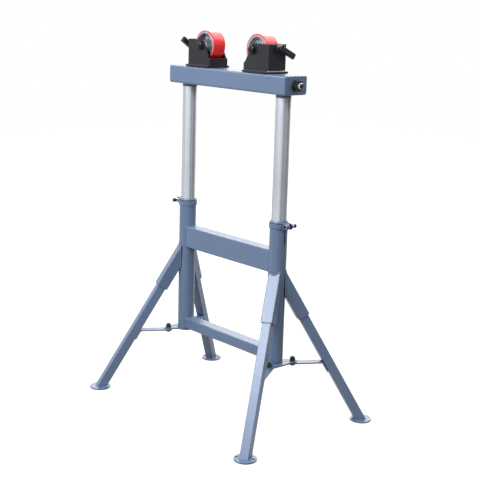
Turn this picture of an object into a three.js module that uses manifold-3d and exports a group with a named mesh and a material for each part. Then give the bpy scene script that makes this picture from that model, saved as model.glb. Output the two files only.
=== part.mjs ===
// Pipe roller stand: two telescoping posts carry a beam with two adjustable roller blocks.
// Millimetres, +Z up. X runs along the beam and Y along the pipe that the rollers carry.
// The origin is on the floor, midway between the four feet.

import * as THREE from 'three';
import { mergeVertices } from 'three/addons/utils/BufferGeometryUtils.js';
import Module from 'manifold-3d';

const wasm = await Module();
wasm.setup();

// Clearances
const WELD_GAP = 0.3; // between pieces that are welded or bolted together
const RUNNING_GAP = 0.2; // radial, between a turning piece and its hole
const AXLE_GAP = 0.1; // radial, between an axle and its bearing
const BOLT_GAP = 0.5; // radial, between a fixed bolt and its hole
const SLIDE_GAP = 0.3; // between the roller blocks and the beam that they slide on
const POST_GAP = 0.5; // radial, between a post and its sleeve
const LEG_GAP = 0.5; // each side, between a leg and its socket

// Sleeves and posts
const POST_SPACING = 480;
const SLEEVE_DIAMETER = 60;
const SLEEVE_WALL = 4;
const SLEEVE_BOTTOM = 227;
const SLEEVE_LENGTH = 488;
const POST_WALL = 3;
const POST_INSERTION = 85;
const POST_EXPOSED = 416;

// Clamp collars
const COLLAR_HEIGHT = 24;
const COLLAR_THICKNESS = 3;
const COLLAR_EDGE = 1.6;
const SPLIT_WIDTH = 4;
const SLIT_LENGTH = 75;
const EAR_THICKNESS = 8;
const CLAMP_REACH = 48;
const CLAMP_SCREW_DIAMETER = 12;
const CLAMP_HEAD_WIDTH = 18;
const CLAMP_HEAD_HEIGHT = 7.5;
const CLAMP_END_LENGTH = 12;
const CLAMP_CAP_DIAMETER = 14;
const CLAMP_CAP_LENGTH = 8;

// Cross rails of the lower frame
const UPPER_RAIL_BOTTOM = 538.5;
const UPPER_RAIL_HEIGHT = 77;
const LOWER_RAIL_BOTTOM = 231;
const LOWER_RAIL_HEIGHT = 38;
const RAIL_DEPTH = 47;
const RAIL_WALL = 3;
const RAIL_CORNER = 4;

// Legs, sockets and feet
const FOOT_CENTRE_X = 406.5;
const FOOT_CENTRE_Y = 270.5;
const LEG_APEX = 548; // height at which a leg's axis meets its post's axis
const LEG_SIZE = 32;
const LEG_WALL = 3;
const LEG_CORNER = 2;
const LEG_INSERTION = 70;
const SOCKET_WALL = 4.5;
const SOCKET_CORNER = 2.5;
const SOCKET_NOTCH = 3; // depth to which the sleeve is let into a socket's upright end
const SOCKET_END = 188; // along the leg, from the post's axis
const FOOT_DIAMETER = 75;
const FOOT_THICKNESS = 6;
const FOOT_HOLE_DIAMETER = 9;
const FOOT_HOLE_OFFSET = 29;

// Stays that tie each leg to the bottom of its post
const STAY_BOLT_RADIUS = 65; // from the post's axis
const STAY_PLATE_THICKNESS = 5;
const STAY_WIDTH = 30;
const STRAP_THICKNESS = 5;
const STRAP_LAP = 18;
const STRAP_TAB_LENGTH = 39; // along the leg, below the bend
const STAY_BOLT_DIAMETER = 10;
const STAY_HEAD_WIDTH = 17;
const STAY_HEAD_HEIGHT = 6.4;
const STAY_NUT_HEIGHT = 8.4;
const STAY_THREAD_END = 8;

// Beam
const BEAM_LENGTH = 590;
const BEAM_DEPTH = 100;
const BEAM_HEIGHT = 62;
const BEAM_WALL = 4;
const BEAM_CORNER = 8;
const END_PLATE_THICKNESS = 5;

// Adjusting screw inside the beam
const SCREW_DIAMETER = 20;
const SCREW_END_LENGTH = 8;
const SCREW_END_BEVEL = 1.5;
const SCREW_CENTRE_HOLE = 5;
const SCREW_NUT_WIDTH = 34;
const SCREW_NUT_HEIGHT = 18;
const THRUST_COLLAR_DIAMETER = 40;
const THRUST_COLLAR_LENGTH = 12;

// Roller blocks; X distances are from the axle, outward positive, heights are from the beam's top
const AXLE_OFFSET = 132.5; // from the middle of the beam
const AXLE_HEIGHT = 74;
const BLOCK_TRAVEL = 40; // each way
const BASE_INNER = 45.5;
const BASE_OUTER = 74;
const BASE_DEPTH = 98;
const BASE_THICKNESS = 6.5;
const BRACKET_OUTER = 73;
const BRACKET_DEPTH = 81;
const BRACKET_HEIGHT = 94;
const BRACKET_THICKNESS = 5;
const BRACKET_BEND = 6.5;
const BRACKET_TOP_INNER = 5.5;
const LIP_HEIGHT = 32;
const LIP_THICKNESS = 5;
const BLOCK_NUT_LENGTH = 50;
const BLOCK_NUT_DEPTH = 40;
const BLOCK_NUT_HEIGHT = 40;
const BLOCK_NECK_LENGTH = 28;
const BLOCK_NECK_DEPTH = 24;

// Axles and wheels
const AXLE_DIAMETER = 16;
const AXLE_HEAD_WIDTH = 24;
const AXLE_HEAD_HEIGHT = 9;
const AXLE_NUT_HEIGHT = 12;
const AXLE_THREAD_END = 6;
const WHEEL_DIAMETER = 102;
const WHEEL_WIDTH = 52;
const TYRE_THICKNESS = 6;
const TYRE_EDGE = 2;
const RIM_THICKNESS = 5;
const WEB_THICKNESS = 10;
const HUB_DIAMETER = 40;
const HUB_END_GAP = 2.5; // each side, between the hub and the bracket
const BEARING_DIAMETER = 28;
const RIB_COUNT = 6;
const RIB_THICKNESS = 5;
const RIB_RECESS = 8; // from the rim's face down to a rib

// Brakes; X distances are from the bracket's end plate
const RIGHT_BRAKE_HEIGHT = 82;
const LEFT_BRAKE_HEIGHT = 58.5;
const BRAKE_SCREW_DIAMETER = 12;
const BRAKE_TIP_DIAMETER = 8;
const BRAKE_TIP_LENGTH = 2;
const BRAKE_TRAVEL = 2.6;
const BRAKE_PAD_CLEARANCE = 0.2; // left between pad and tyre with the brake on
const BRAKE_PAD_DIAMETER = 26;
const BRAKE_PAD_THICKNESS = 4;
const BRAKE_COLLAR_OFFSET = 3.4;
const BRAKE_COLLAR_WIDTH = 18;
const BRAKE_COLLAR_LENGTH = 4;
const BRAKE_STEM_LENGTH = 10;
const LEVER_HUB_DIAMETER = 20;
const LEVER_HUB_LENGTH = 17;
const LEVER_LENGTH = 55;
const LEVER_RISE = 12;
const LEVER_WIDTH = 16;
const LEVER_THICKNESS = 13;
const LEVER_ROUNDING = 3;
const RIGHT_LEVER_ANGLE = -31; // degrees, from level
const LEFT_LEVER_ANGLE = 40;

// Facets of round and rounded pieces
const LARGE_SIDES = 26;
const SMALL_SIDES = 16;
const CORNER_STEPS = 3;
const MERGE_DISTANCE = 1e-4; // corners closer than this are one corner

// Places that follow from the sizes
const SLEEVE_RADIUS = SLEEVE_DIAMETER / 2;
const SLEEVE_TOP = SLEEVE_BOTTOM + SLEEVE_LENGTH;
const POST_RADIUS = SLEEVE_RADIUS - SLEEVE_WALL - POST_GAP;
const BEAM_BOTTOM = SLEEVE_TOP + POST_EXPOSED;
const BEAM_TOP = BEAM_BOTTOM + BEAM_HEIGHT;
const SCREW_HEIGHT = BEAM_BOTTOM + BEAM_HEIGHT / 2;
const COLLAR_MIDDLE = SLEEVE_TOP - COLLAR_HEIGHT / 2;
const EAR_FACE = SPLIT_WIDTH / 2 + EAR_THICKNESS;
const FOOT_REACH = Math.hypot(FOOT_CENTRE_X - POST_SPACING / 2, FOOT_CENTRE_Y);
const LEG_AZIMUTH = Math.atan2(FOOT_CENTRE_Y, FOOT_CENTRE_X - POST_SPACING / 2);
const LEG_LEAN = Math.atan2(FOOT_REACH, LEG_APEX);
const LEG_LENGTH = Math.hypot(FOOT_REACH, LEG_APEX);
const SOCKET_SIZE = LEG_SIZE + 2 * (LEG_GAP + SOCKET_WALL);
const STAY_PLATE_TOP = SLEEVE_BOTTOM - WELD_GAP;
const STRAP_TOP = STAY_PLATE_TOP - STAY_PLATE_THICKNESS - WELD_GAP;
const STRAP_BOTTOM = STRAP_TOP - STRAP_THICKNESS;
const BEAM_TUBE_HALF = BEAM_LENGTH / 2 - END_PLATE_THICKNESS - WELD_GAP;
const WHEEL_RADIUS = WHEEL_DIAMETER / 2;
const CORE_RADIUS = WHEEL_RADIUS - TYRE_THICKNESS - WELD_GAP;
const BASE_BOTTOM = SLIDE_GAP;
const BASE_TOP = BASE_BOTTOM + BASE_THICKNESS;
const BASE_MIDDLE = (BASE_OUTER - BASE_INNER) / 2;
const BRACKET_BOTTOM = BASE_TOP + WELD_GAP;
const BRACKET_INNER = BASE_INNER - LIP_THICKNESS - WELD_GAP;
const HUB_LENGTH = BRACKET_DEPTH - 2 * (BRACKET_THICKNESS + HUB_END_GAP);
const PAD_FACE = WHEEL_RADIUS + BRAKE_TRAVEL + BRAKE_PAD_CLEARANCE;

const LOOKS = {
  frame_paint: { color: 0x7888a4, roughness: 0.42, metalness: 0.05 },
  black_paint: { color: 0x26272b, roughness: 0.5, metalness: 0.1 },
  chrome: { color: 0xc9ccd2, roughness: 0.18, metalness: 1.0 },
  zinc: { color: 0xb9bdc4, roughness: 0.35, metalness: 1.0 },
  black_steel: { color: 0x1b1c1f, roughness: 0.45, metalness: 0.6 },
  cast_core: { color: 0x9a9da1, roughness: 0.5, metalness: 0.7 },
  red_tyre: { color: 0xd8232a, roughness: 0.4, metalness: 0.0 },
  bronze: { color: 0x9c7a45, roughness: 0.4, metalness: 0.9 },
  lever_plastic: { color: 0x151618, roughness: 0.55, metalness: 0.0 },
};

// Closed solid of a geometry, with its shared corners merged and its flat slivers dropped.
function toSolid(geometry) {
  const bare = geometry.clone();
  bare.deleteAttribute('normal');
  bare.deleteAttribute('uv');
  const merged = mergeVertices(bare, MERGE_DISTANCE);
  const corners = merged.index.array;
  const kept = [];
  for (let first = 0; first < corners.length; first += 3) {
    const [a, b, c] = corners.slice(first, first + 3);
    if (a !== b && b !== c && c !== a) {
      kept.push(a, b, c);
    }
  }
  const vertProperties = new Float32Array(merged.attributes.position.array);
  const triVerts = new Uint32Array(kept);
  return new wasm.Manifold(new wasm.Mesh({ numProp: 3, vertProperties, triVerts }));
}

function toGeometry(solid) {
  const mesh = solid.getMesh();
  const geometry = new THREE.BufferGeometry();
  geometry.setAttribute('position', new THREE.BufferAttribute(mesh.vertProperties, 3));
  geometry.setIndex(new THREE.BufferAttribute(mesh.triVerts, 1));
  geometry.computeVertexNormals();
  return geometry;
}

function piece(name, solid, look) {
  const mesh = new THREE.Mesh(toGeometry(solid), new THREE.MeshStandardMaterial(LOOKS[look]));
  mesh.name = name;
  return mesh;
}

function arcPoints(centreX, centreY, radius, start, end, steps) {
  const points = [];
  for (let step = 0; step <= steps; step += 1) {
    const angle = start + ((end - start) * step) / steps;
    points.push(new THREE.Vector2(centreX + radius * Math.cos(angle), centreY + radius * Math.sin(angle)));
  }
  return points;
}

function circlePoints(radius, sides, centreX = 0, centreY = 0) {
  const points = arcPoints(centreX, centreY, radius, 0, 2 * Math.PI, sides);
  points.pop();
  return points;
}

function circleShape(radius, sides) {
  return new THREE.Shape(circlePoints(radius, sides));
}

function ringShape(outerRadius, innerRadius, sides) {
  const shape = circleShape(outerRadius, sides);
  shape.holes.push(new THREE.Path(circlePoints(innerRadius, sides)));
  return shape;
}

// Radius of a faceted cutter that clears a round piece all round.
function clearRadius(radius, gap, sides) {
  return (radius + gap) / Math.cos(Math.PI / sides);
}

function rectanglePoints(width, height, corner) {
  const x = width / 2 - corner;
  const y = height / 2 - corner;
  const quarter = Math.PI / 2;
  return [
    ...arcPoints(x, -y, corner, -quarter, 0, CORNER_STEPS),
    ...arcPoints(x, y, corner, 0, quarter, CORNER_STEPS),
    ...arcPoints(-x, y, corner, quarter, 2 * quarter, CORNER_STEPS),
    ...arcPoints(-x, -y, corner, 2 * quarter, 3 * quarter, CORNER_STEPS),
  ];
}

function tubeShape(width, height, corner, wall) {
  const shape = new THREE.Shape(rectanglePoints(width, height, corner));
  const innerCorner = Math.max(corner - wall, wall / 4);
  shape.holes.push(new THREE.Path(rectanglePoints(width - 2 * wall, height - 2 * wall, innerCorner)));
  return shape;
}

// Hexagon with two corners on the Y axis of its own plane.
function hexagonShape(acrossFlats) {
  const sides = 6;
  const start = Math.PI / sides;
  const radius = acrossFlats / (2 * Math.cos(start));
  const points = arcPoints(0, 0, radius, start, start + 2 * Math.PI, sides);
  points.pop();
  return new THREE.Shape(points);
}

function polygonShape(points) {
  return new THREE.Shape(points.map(([x, y]) => new THREE.Vector2(x, y)));
}

// Slot outline: two half circles of one radius about the ends of a line along X.
function slotShape(fromX, toX, radius) {
  const quarter = Math.PI / 2;
  return new THREE.Shape([
    ...arcPoints(toX, 0, radius, -quarter, quarter, SMALL_SIDES / 2),
    ...arcPoints(fromX, 0, radius, quarter, 3 * quarter, SMALL_SIDES / 2),
  ]);
}

function prismZ(shape, fromZ, toZ) {
  const geometry = new THREE.ExtrudeGeometry(shape, { depth: toZ - fromZ, bevelEnabled: false });
  geometry.translate(0, 0, fromZ);
  return geometry;
}

// The shape's own X and Y become Y and Z.
function prismX(shape, fromX, toX) {
  const geometry = prismZ(shape, fromX, toX);
  const toRow = new THREE.Matrix4().makeBasis(
    new THREE.Vector3(0, 1, 0),
    new THREE.Vector3(0, 0, 1),
    new THREE.Vector3(1, 0, 0),
  );
  return geometry.applyMatrix4(toRow);
}

// The shape's own X and Y become X and Z.
function prismY(shape, fromY, toY) {
  return prismZ(shape, -toY, -fromY).rotateX(Math.PI / 2);
}

function block(fromX, toX, fromY, toY, fromZ, toZ) {
  const geometry = new THREE.BoxGeometry(toX - fromX, toY - fromY, toZ - fromZ);
  return geometry.translate((fromX + toX) / 2, (fromY + toY) / 2, (fromZ + toZ) / 2);
}

// Turned piece about the Z axis from [radius, height] points, listed bottom to top on the outside.
function turned(points, sides) {
  const profile = points.map(([radius, height]) => new THREE.Vector2(radius, height));
  return new THREE.LatheGeometry(profile, sides).rotateX(Math.PI / 2);
}

// Turned piece with its axis along X.
function turnedX(points, sides) {
  return turned(points, sides).rotateY(Math.PI / 2);
}

// Turned piece with its axis along Y.
function turnedY(points, sides) {
  return turned(points, sides).rotateX(-Math.PI / 2);
}

function cut(solid, ...cutters) {
  return cutters.reduce((left, cutter) => left.subtract(toSolid(cutter)), solid);
}

function join(...geometries) {
  return geometries.map(toSolid).reduce((sum, next) => sum.add(next));
}

function verticalCutter(radius, gap, fromZ, toZ) {
  return prismZ(circleShape(clearRadius(radius, gap, LARGE_SIDES), LARGE_SIDES), fromZ, toZ);
}

// Sleeve with a slit below its clamp collar, on the post's outer side.
function sleeveSolid() {
  const ring = ringShape(SLEEVE_RADIUS, SLEEVE_RADIUS - SLEEVE_WALL, LARGE_SIDES);
  const tube = prismZ(ring, SLEEVE_BOTTOM, SLEEVE_TOP);
  const half = SPLIT_WIDTH / 2;
  const slit = block(0, SLEEVE_DIAMETER, -half, half, SLEEVE_TOP - SLIT_LENGTH, SLEEVE_TOP + SLIT_LENGTH);
  return cut(toSolid(tube), slit);
}

// Split ring with two ears that the clamp screw draws together.
function collarSolid() {
  const inner = SLEEVE_RADIUS + WELD_GAP;
  const outer = SLEEVE_RADIUS + COLLAR_THICKNESS;
  const bottom = SLEEVE_TOP - COLLAR_HEIGHT;
  const ring = turned([
    [inner, bottom],
    [outer - COLLAR_EDGE, bottom],
    [outer, bottom + COLLAR_EDGE],
    [outer, SLEEVE_TOP - COLLAR_EDGE],
    [outer - COLLAR_EDGE, SLEEVE_TOP],
    [inner, SLEEVE_TOP],
    [inner, bottom],
  ], LARGE_SIDES);
  const radius = COLLAR_HEIGHT / 2 - COLLAR_EDGE;
  const ears = prismY(slotShape(inner, CLAMP_REACH, radius), -EAR_FACE, EAR_FACE);
  ears.translate(0, 0, COLLAR_MIDDLE);
  const half = SPLIT_WIDTH / 2;
  const tip = CLAMP_REACH + COLLAR_HEIGHT;
  const split = block(0, tip, -half, half, bottom - COLLAR_EDGE, SLEEVE_TOP + COLLAR_EDGE);
  const holeRadius = clearRadius(CLAMP_SCREW_DIAMETER / 2, RUNNING_GAP, SMALL_SIDES);
  const hole = prismY(circleShape(holeRadius, SMALL_SIDES), -COLLAR_HEIGHT, COLLAR_HEIGHT);
  hole.translate(CLAMP_REACH, 0, COLLAR_MIDDLE);
  const bore = verticalCutter(SLEEVE_RADIUS, WELD_GAP, bottom - COLLAR_EDGE, SLEEVE_TOP + COLLAR_EDGE);
  return cut(join(ring, ears), bore, split, hole);
}

// Clamp screw along Y: hexagon head on the front ear, capped end behind the back ear.
function clampScrewSolid() {
  const headBack = -EAR_FACE - WELD_GAP;
  const capStart = EAR_FACE + CLAMP_END_LENGTH;
  const capEnd = capStart + CLAMP_CAP_LENGTH;
  const head = prismY(hexagonShape(CLAMP_HEAD_WIDTH), headBack - CLAMP_HEAD_HEIGHT, headBack);
  const round = circleShape(CLAMP_SCREW_DIAMETER / 2, SMALL_SIDES);
  const shank = prismY(round, headBack - CLAMP_HEAD_HEIGHT / 2, capEnd);
  const cap = prismY(circleShape(CLAMP_CAP_DIAMETER / 2, SMALL_SIDES), capStart, capEnd);
  return join(head, shank, cap);
}

function railSolid(bottom, height) {
  const half = POST_SPACING / 2;
  const tube = prismX(tubeShape(RAIL_DEPTH, height, RAIL_CORNER, RAIL_WALL), -half, half);
  tube.translate(0, 0, bottom + height / 2);
  const saddles = [-half, half].map((x) => {
    return verticalCutter(SLEEVE_RADIUS, WELD_GAP, bottom - height, bottom + 2 * height).translate(x, 0, 0);
  });
  return cut(toSolid(tube), ...saddles);
}

// Frame of a leg: X down along the leg from the post's axis, Y across it, Z square to its upper face.
function legFrame() {
  const along = new THREE.Vector3(Math.sin(LEG_LEAN), 0, -Math.cos(LEG_LEAN));
  const across = new THREE.Vector3(0, 1, 0);
  const upper = new THREE.Vector3(Math.cos(LEG_LEAN), 0, Math.sin(LEG_LEAN));
  return new THREE.Matrix4().makeBasis(along, across, upper).setPosition(0, 0, LEG_APEX);
}

// Socket with an upright end, notched where it meets the round sleeve.
function socketSolid() {
  const shape = tubeShape(SOCKET_SIZE, SOCKET_SIZE, SOCKET_CORNER, SOCKET_WALL);
  const tube = prismX(shape, -SOCKET_SIZE, SOCKET_END).applyMatrix4(legFrame());
  const face = SLEEVE_RADIUS - SOCKET_NOTCH;
  const top = LEG_APEX + 2 * SOCKET_SIZE;
  const behind = block(-SOCKET_END, face, -SOCKET_SIZE, SOCKET_SIZE, LEG_APEX - SOCKET_END, top);
  return cut(toSolid(tube), behind, verticalCutter(SLEEVE_RADIUS, WELD_GAP, 0, top));
}

function legSolid() {
  const shape = tubeShape(LEG_SIZE, LEG_SIZE, LEG_CORNER, LEG_WALL);
  const tube = prismX(shape, SOCKET_END - LEG_INSERTION, LEG_LENGTH + LEG_SIZE).applyMatrix4(legFrame());
  const floor = FOOT_THICKNESS + WELD_GAP;
  const side = FOOT_REACH + 4 * LEG_SIZE;
  return cut(toSolid(tube), block(0, side, -LEG_SIZE, LEG_SIZE, -2 * LEG_SIZE, floor));
}

function footSolid() {
  const shape = circleShape(FOOT_DIAMETER / 2, LARGE_SIDES);
  for (const y of [-FOOT_HOLE_OFFSET, FOOT_HOLE_OFFSET]) {
    shape.holes.push(new THREE.Path(circlePoints(FOOT_HOLE_DIAMETER / 2, SMALL_SIDES, 0, y)));
  }
  return toSolid(prismZ(shape, 0, FOOT_THICKNESS).translate(FOOT_REACH, 0, 0));
}

// Plate under a post, with one arm toward each of its two legs.
function stayPlateSolid() {
  const bottom = STAY_PLATE_TOP - STAY_PLATE_THICKNESS;
  const disc = prismZ(circleShape(SLEEVE_RADIUS, LARGE_SIDES), bottom, STAY_PLATE_TOP);
  const arms = [LEG_AZIMUTH, -LEG_AZIMUTH].map((azimuth) => {
    return prismZ(slotShape(0, STAY_BOLT_RADIUS, STAY_WIDTH / 2), bottom, STAY_PLATE_TOP).rotateZ(azimuth);
  });
  const holes = [LEG_AZIMUTH, -LEG_AZIMUTH].map((azimuth) => {
    return stayHole(bottom - STRAP_THICKNESS, SLEEVE_BOTTOM).rotateZ(azimuth);
  });
  return cut(join(disc, ...arms), ...holes);
}

function stayHole(fromZ, toZ) {
  const radius = clearRadius(STAY_BOLT_DIAMETER / 2, BOLT_GAP, SMALL_SIDES);
  return prismZ(circleShape(radius, SMALL_SIDES), fromZ, toZ).translate(STAY_BOLT_RADIUS, 0, 0);
}

// Flat strap, level under the stay plate and bent down along the underside of the leg.
function strapSolid() {
  const near = LEG_SIZE / 2 + WELD_GAP;
  const far = near + STRAP_THICKNESS;
  const sine = Math.sin(LEG_LEAN);
  const cosine = Math.cos(LEG_LEAN);
  const onFace = (along, offset) => {
    return [along * sine - offset * cosine, LEG_APEX - along * cosine - offset * sine];
  };
  const alongAtHeight = (height, offset) => (LEG_APEX - offset * sine - height) / cosine;
  const bend = alongAtHeight(STRAP_TOP, near);
  const tabEnd = bend + STRAP_TAB_LENGTH;
  const outline = polygonShape([
    [STAY_BOLT_RADIUS - STRAP_LAP, STRAP_BOTTOM],
    onFace(alongAtHeight(STRAP_BOTTOM, far), far),
    onFace(tabEnd, far),
    onFace(tabEnd, near),
    onFace(bend, near),
    [STAY_BOLT_RADIUS - STRAP_LAP, STRAP_TOP],
  ]);
  const bar = prismY(outline, -STAY_WIDTH / 2, STAY_WIDTH / 2);
  return cut(toSolid(bar), stayHole(STRAP_BOTTOM - STRAP_THICKNESS, STAY_PLATE_TOP));
}

// Bolt with its head under the strap and its nut on the stay plate.
function stayBoltSolid() {
  const headTop = STRAP_BOTTOM - WELD_GAP;
  const nutBottom = STAY_PLATE_TOP + WELD_GAP;
  const nutTop = nutBottom + STAY_NUT_HEIGHT;
  const head = prismZ(hexagonShape(STAY_HEAD_WIDTH), headTop - STAY_HEAD_HEIGHT, headTop);
  const nut = prismZ(hexagonShape(STAY_HEAD_WIDTH), nutBottom, nutTop);
  const shank = circleShape(STAY_BOLT_DIAMETER / 2, SMALL_SIDES);
  const rod = prismZ(shank, headTop - STAY_HEAD_HEIGHT / 2, nutTop + STAY_THREAD_END);
  return join(head, nut, rod).translate([STAY_BOLT_RADIUS, 0, 0]);
}

function postSolid() {
  const shape = ringShape(POST_RADIUS, POST_RADIUS - POST_WALL, LARGE_SIDES);
  return toSolid(prismZ(shape, SLEEVE_TOP - POST_INSERTION, BEAM_BOTTOM - WELD_GAP));
}

// Slots in the beam's top wall let the blocks' nuts travel; at rest the base plates cover them.
function beamSolid() {
  const section = tubeShape(BEAM_DEPTH, BEAM_HEIGHT, BEAM_CORNER, BEAM_WALL);
  const tube = prismX(section, -BEAM_TUBE_HALF, BEAM_TUBE_HALF).translate(0, 0, SCREW_HEIGHT);
  const half = BLOCK_NECK_LENGTH / 2 + BLOCK_TRAVEL + SLIDE_GAP;
  const side = BLOCK_NECK_DEPTH / 2 + SLIDE_GAP;
  const middle = AXLE_OFFSET + BASE_MIDDLE;
  const slots = [-middle, middle].map((x) => {
    return block(x - half, x + half, -side, side, SCREW_HEIGHT, BEAM_TOP + BEAM_WALL);
  });
  return cut(toSolid(tube), ...slots);
}

function endPlateSolid() {
  const shape = new THREE.Shape(rectanglePoints(BEAM_DEPTH, BEAM_HEIGHT, BEAM_CORNER));
  const holeRadius = clearRadius(SCREW_DIAMETER / 2, RUNNING_GAP, SMALL_SIDES);
  shape.holes.push(new THREE.Path(circlePoints(holeRadius, SMALL_SIDES)));
  const plate = prismX(shape, BEAM_LENGTH / 2 - END_PLATE_THICKNESS, BEAM_LENGTH / 2);
  return toSolid(plate.translate(0, 0, SCREW_HEIGHT));
}

// Screw through the whole beam, its left end flush and its right end proud of the hexagon nut.
function adjustingScrewSolid() {
  const radius = SCREW_DIAMETER / 2;
  const left = -BEAM_LENGTH / 2;
  const right = BEAM_LENGTH / 2 + WELD_GAP + SCREW_NUT_HEIGHT + SCREW_END_LENGTH;
  return toSolid(turnedX([
    [0, left],
    [radius - SCREW_END_BEVEL, left],
    [radius, left + SCREW_END_BEVEL],
    [radius, right - SCREW_END_BEVEL],
    [radius - SCREW_END_BEVEL, right],
    [SCREW_CENTRE_HOLE / 2, right],
    [0, right - SCREW_CENTRE_HOLE],
  ], SMALL_SIDES));
}

function screwNutSolid() {
  const shape = hexagonShape(SCREW_NUT_WIDTH);
  const holeRadius = clearRadius(SCREW_DIAMETER / 2, RUNNING_GAP, SMALL_SIDES);
  shape.holes.push(new THREE.Path(circlePoints(holeRadius, SMALL_SIDES)));
  const start = BEAM_LENGTH / 2 + WELD_GAP;
  return toSolid(prismX(shape, start, start + SCREW_NUT_HEIGHT));
}

function thrustCollarSolid() {
  const holeRadius = clearRadius(SCREW_DIAMETER / 2, RUNNING_GAP, SMALL_SIDES);
  const shape = ringShape(THRUST_COLLAR_DIAMETER / 2, holeRadius, SMALL_SIDES);
  const end = BEAM_LENGTH / 2 - END_PLATE_THICKNESS - WELD_GAP;
  return toSolid(prismX(shape, end - THRUST_COLLAR_LENGTH, end));
}

function basePlateSolid() {
  const half = BASE_DEPTH / 2;
  return toSolid(block(-BASE_INNER, BASE_OUTER, -half, half, BASE_BOTTOM, BASE_TOP));
}

// Threaded block inside the beam, with a neck up through the slot to the base plate.
function blockNutSolid() {
  const centre = SCREW_HEIGHT - BEAM_TOP;
  const length = BLOCK_NUT_LENGTH / 2;
  const depth = BLOCK_NUT_DEPTH / 2;
  const height = BLOCK_NUT_HEIGHT / 2;
  const body = block(-length, length, -depth, depth, centre - height, centre + height);
  const neckLength = BLOCK_NECK_LENGTH / 2;
  const neckDepth = BLOCK_NECK_DEPTH / 2;
  const neck = block(-neckLength, neckLength, -neckDepth, neckDepth, centre, BASE_BOTTOM - WELD_GAP / 2);
  const holeRadius = clearRadius(SCREW_DIAMETER / 2, RUNNING_GAP, SMALL_SIDES);
  const thread = prismX(circleShape(holeRadius, SMALL_SIDES), -BLOCK_NUT_LENGTH, BLOCK_NUT_LENGTH);
  thread.translate(0, 0, centre);
  return cut(join(body, neck), thread).translate([BASE_MIDDLE, 0, 0]);
}

// Bracket bent from one sheet: a tall outer end with a side wing each way, sloped toward the roller.
function bracketSolid(brakeHeight) {
  const half = BRACKET_DEPTH / 2;
  const quarter = Math.PI / 2;
  const bendX = BRACKET_OUTER - BRACKET_BEND;
  const bendY = half - BRACKET_BEND;
  const innerBend = BRACKET_BEND - BRACKET_THICKNESS;
  const plan = new THREE.Shape([
    new THREE.Vector2(-BRACKET_INNER, -half),
    ...arcPoints(bendX, -bendY, BRACKET_BEND, -quarter, 0, CORNER_STEPS),
    ...arcPoints(bendX, bendY, BRACKET_BEND, 0, quarter, CORNER_STEPS),
    new THREE.Vector2(-BRACKET_INNER, half),
    new THREE.Vector2(-BRACKET_INNER, half - BRACKET_THICKNESS),
    ...arcPoints(bendX, bendY, innerBend, quarter, 0, CORNER_STEPS),
    ...arcPoints(bendX, -bendY, innerBend, 0, -quarter, CORNER_STEPS),
    new THREE.Vector2(-BRACKET_INNER, -half + BRACKET_THICKNESS),
  ]);
  const side = polygonShape([
    [-BRACKET_INNER - WELD_GAP, BRACKET_BOTTOM],
    [BRACKET_OUTER + WELD_GAP, BRACKET_BOTTOM],
    [BRACKET_OUTER + WELD_GAP, BRACKET_HEIGHT],
    [-BRACKET_TOP_INNER, BRACKET_HEIGHT],
    [-BRACKET_INNER - WELD_GAP, LIP_HEIGHT],
  ]);
  const sheet = toSolid(prismZ(plan, BASE_BOTTOM, BRACKET_HEIGHT + BRACKET_BEND));
  const wings = sheet.intersect(toSolid(prismY(side, -BRACKET_DEPTH, BRACKET_DEPTH)));
  const axleRadius = clearRadius(AXLE_DIAMETER / 2, RUNNING_GAP, SMALL_SIDES);
  const axleHole = prismY(circleShape(axleRadius, SMALL_SIDES), -BRACKET_DEPTH, BRACKET_DEPTH);
  axleHole.translate(0, 0, AXLE_HEIGHT);
  const brakeRadius = clearRadius(BRAKE_SCREW_DIAMETER / 2, RUNNING_GAP, SMALL_SIDES);
  const brakeRound = circleShape(brakeRadius, SMALL_SIDES);
  const brakeHole = prismX(brakeRound, WHEEL_RADIUS, BRACKET_OUTER + BRACKET_BEND);
  brakeHole.translate(0, 0, brakeHeight);
  return cut(wings, axleHole, brakeHole);
}

function lipSolid() {
  const half = BRACKET_DEPTH / 2;
  return toSolid(block(-BASE_INNER, -BASE_INNER + LIP_THICKNESS, -half, half, BRACKET_BOTTOM, LIP_HEIGHT));
}

// Axle bolt along Y with its nut at the front and its head at the back.
function axleSolid() {
  const face = BRACKET_DEPTH / 2 + WELD_GAP;
  const nutEnd = -face - AXLE_NUT_HEIGHT;
  const nut = prismY(hexagonShape(AXLE_HEAD_WIDTH), nutEnd, -face);
  const head = prismY(hexagonShape(AXLE_HEAD_WIDTH), face, face + AXLE_HEAD_HEIGHT);
  const round = circleShape(AXLE_DIAMETER / 2, SMALL_SIDES);
  const rod = prismY(round, nutEnd - AXLE_THREAD_END, face + AXLE_HEAD_HEIGHT / 2);
  return join(nut, head, rod);
}

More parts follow.
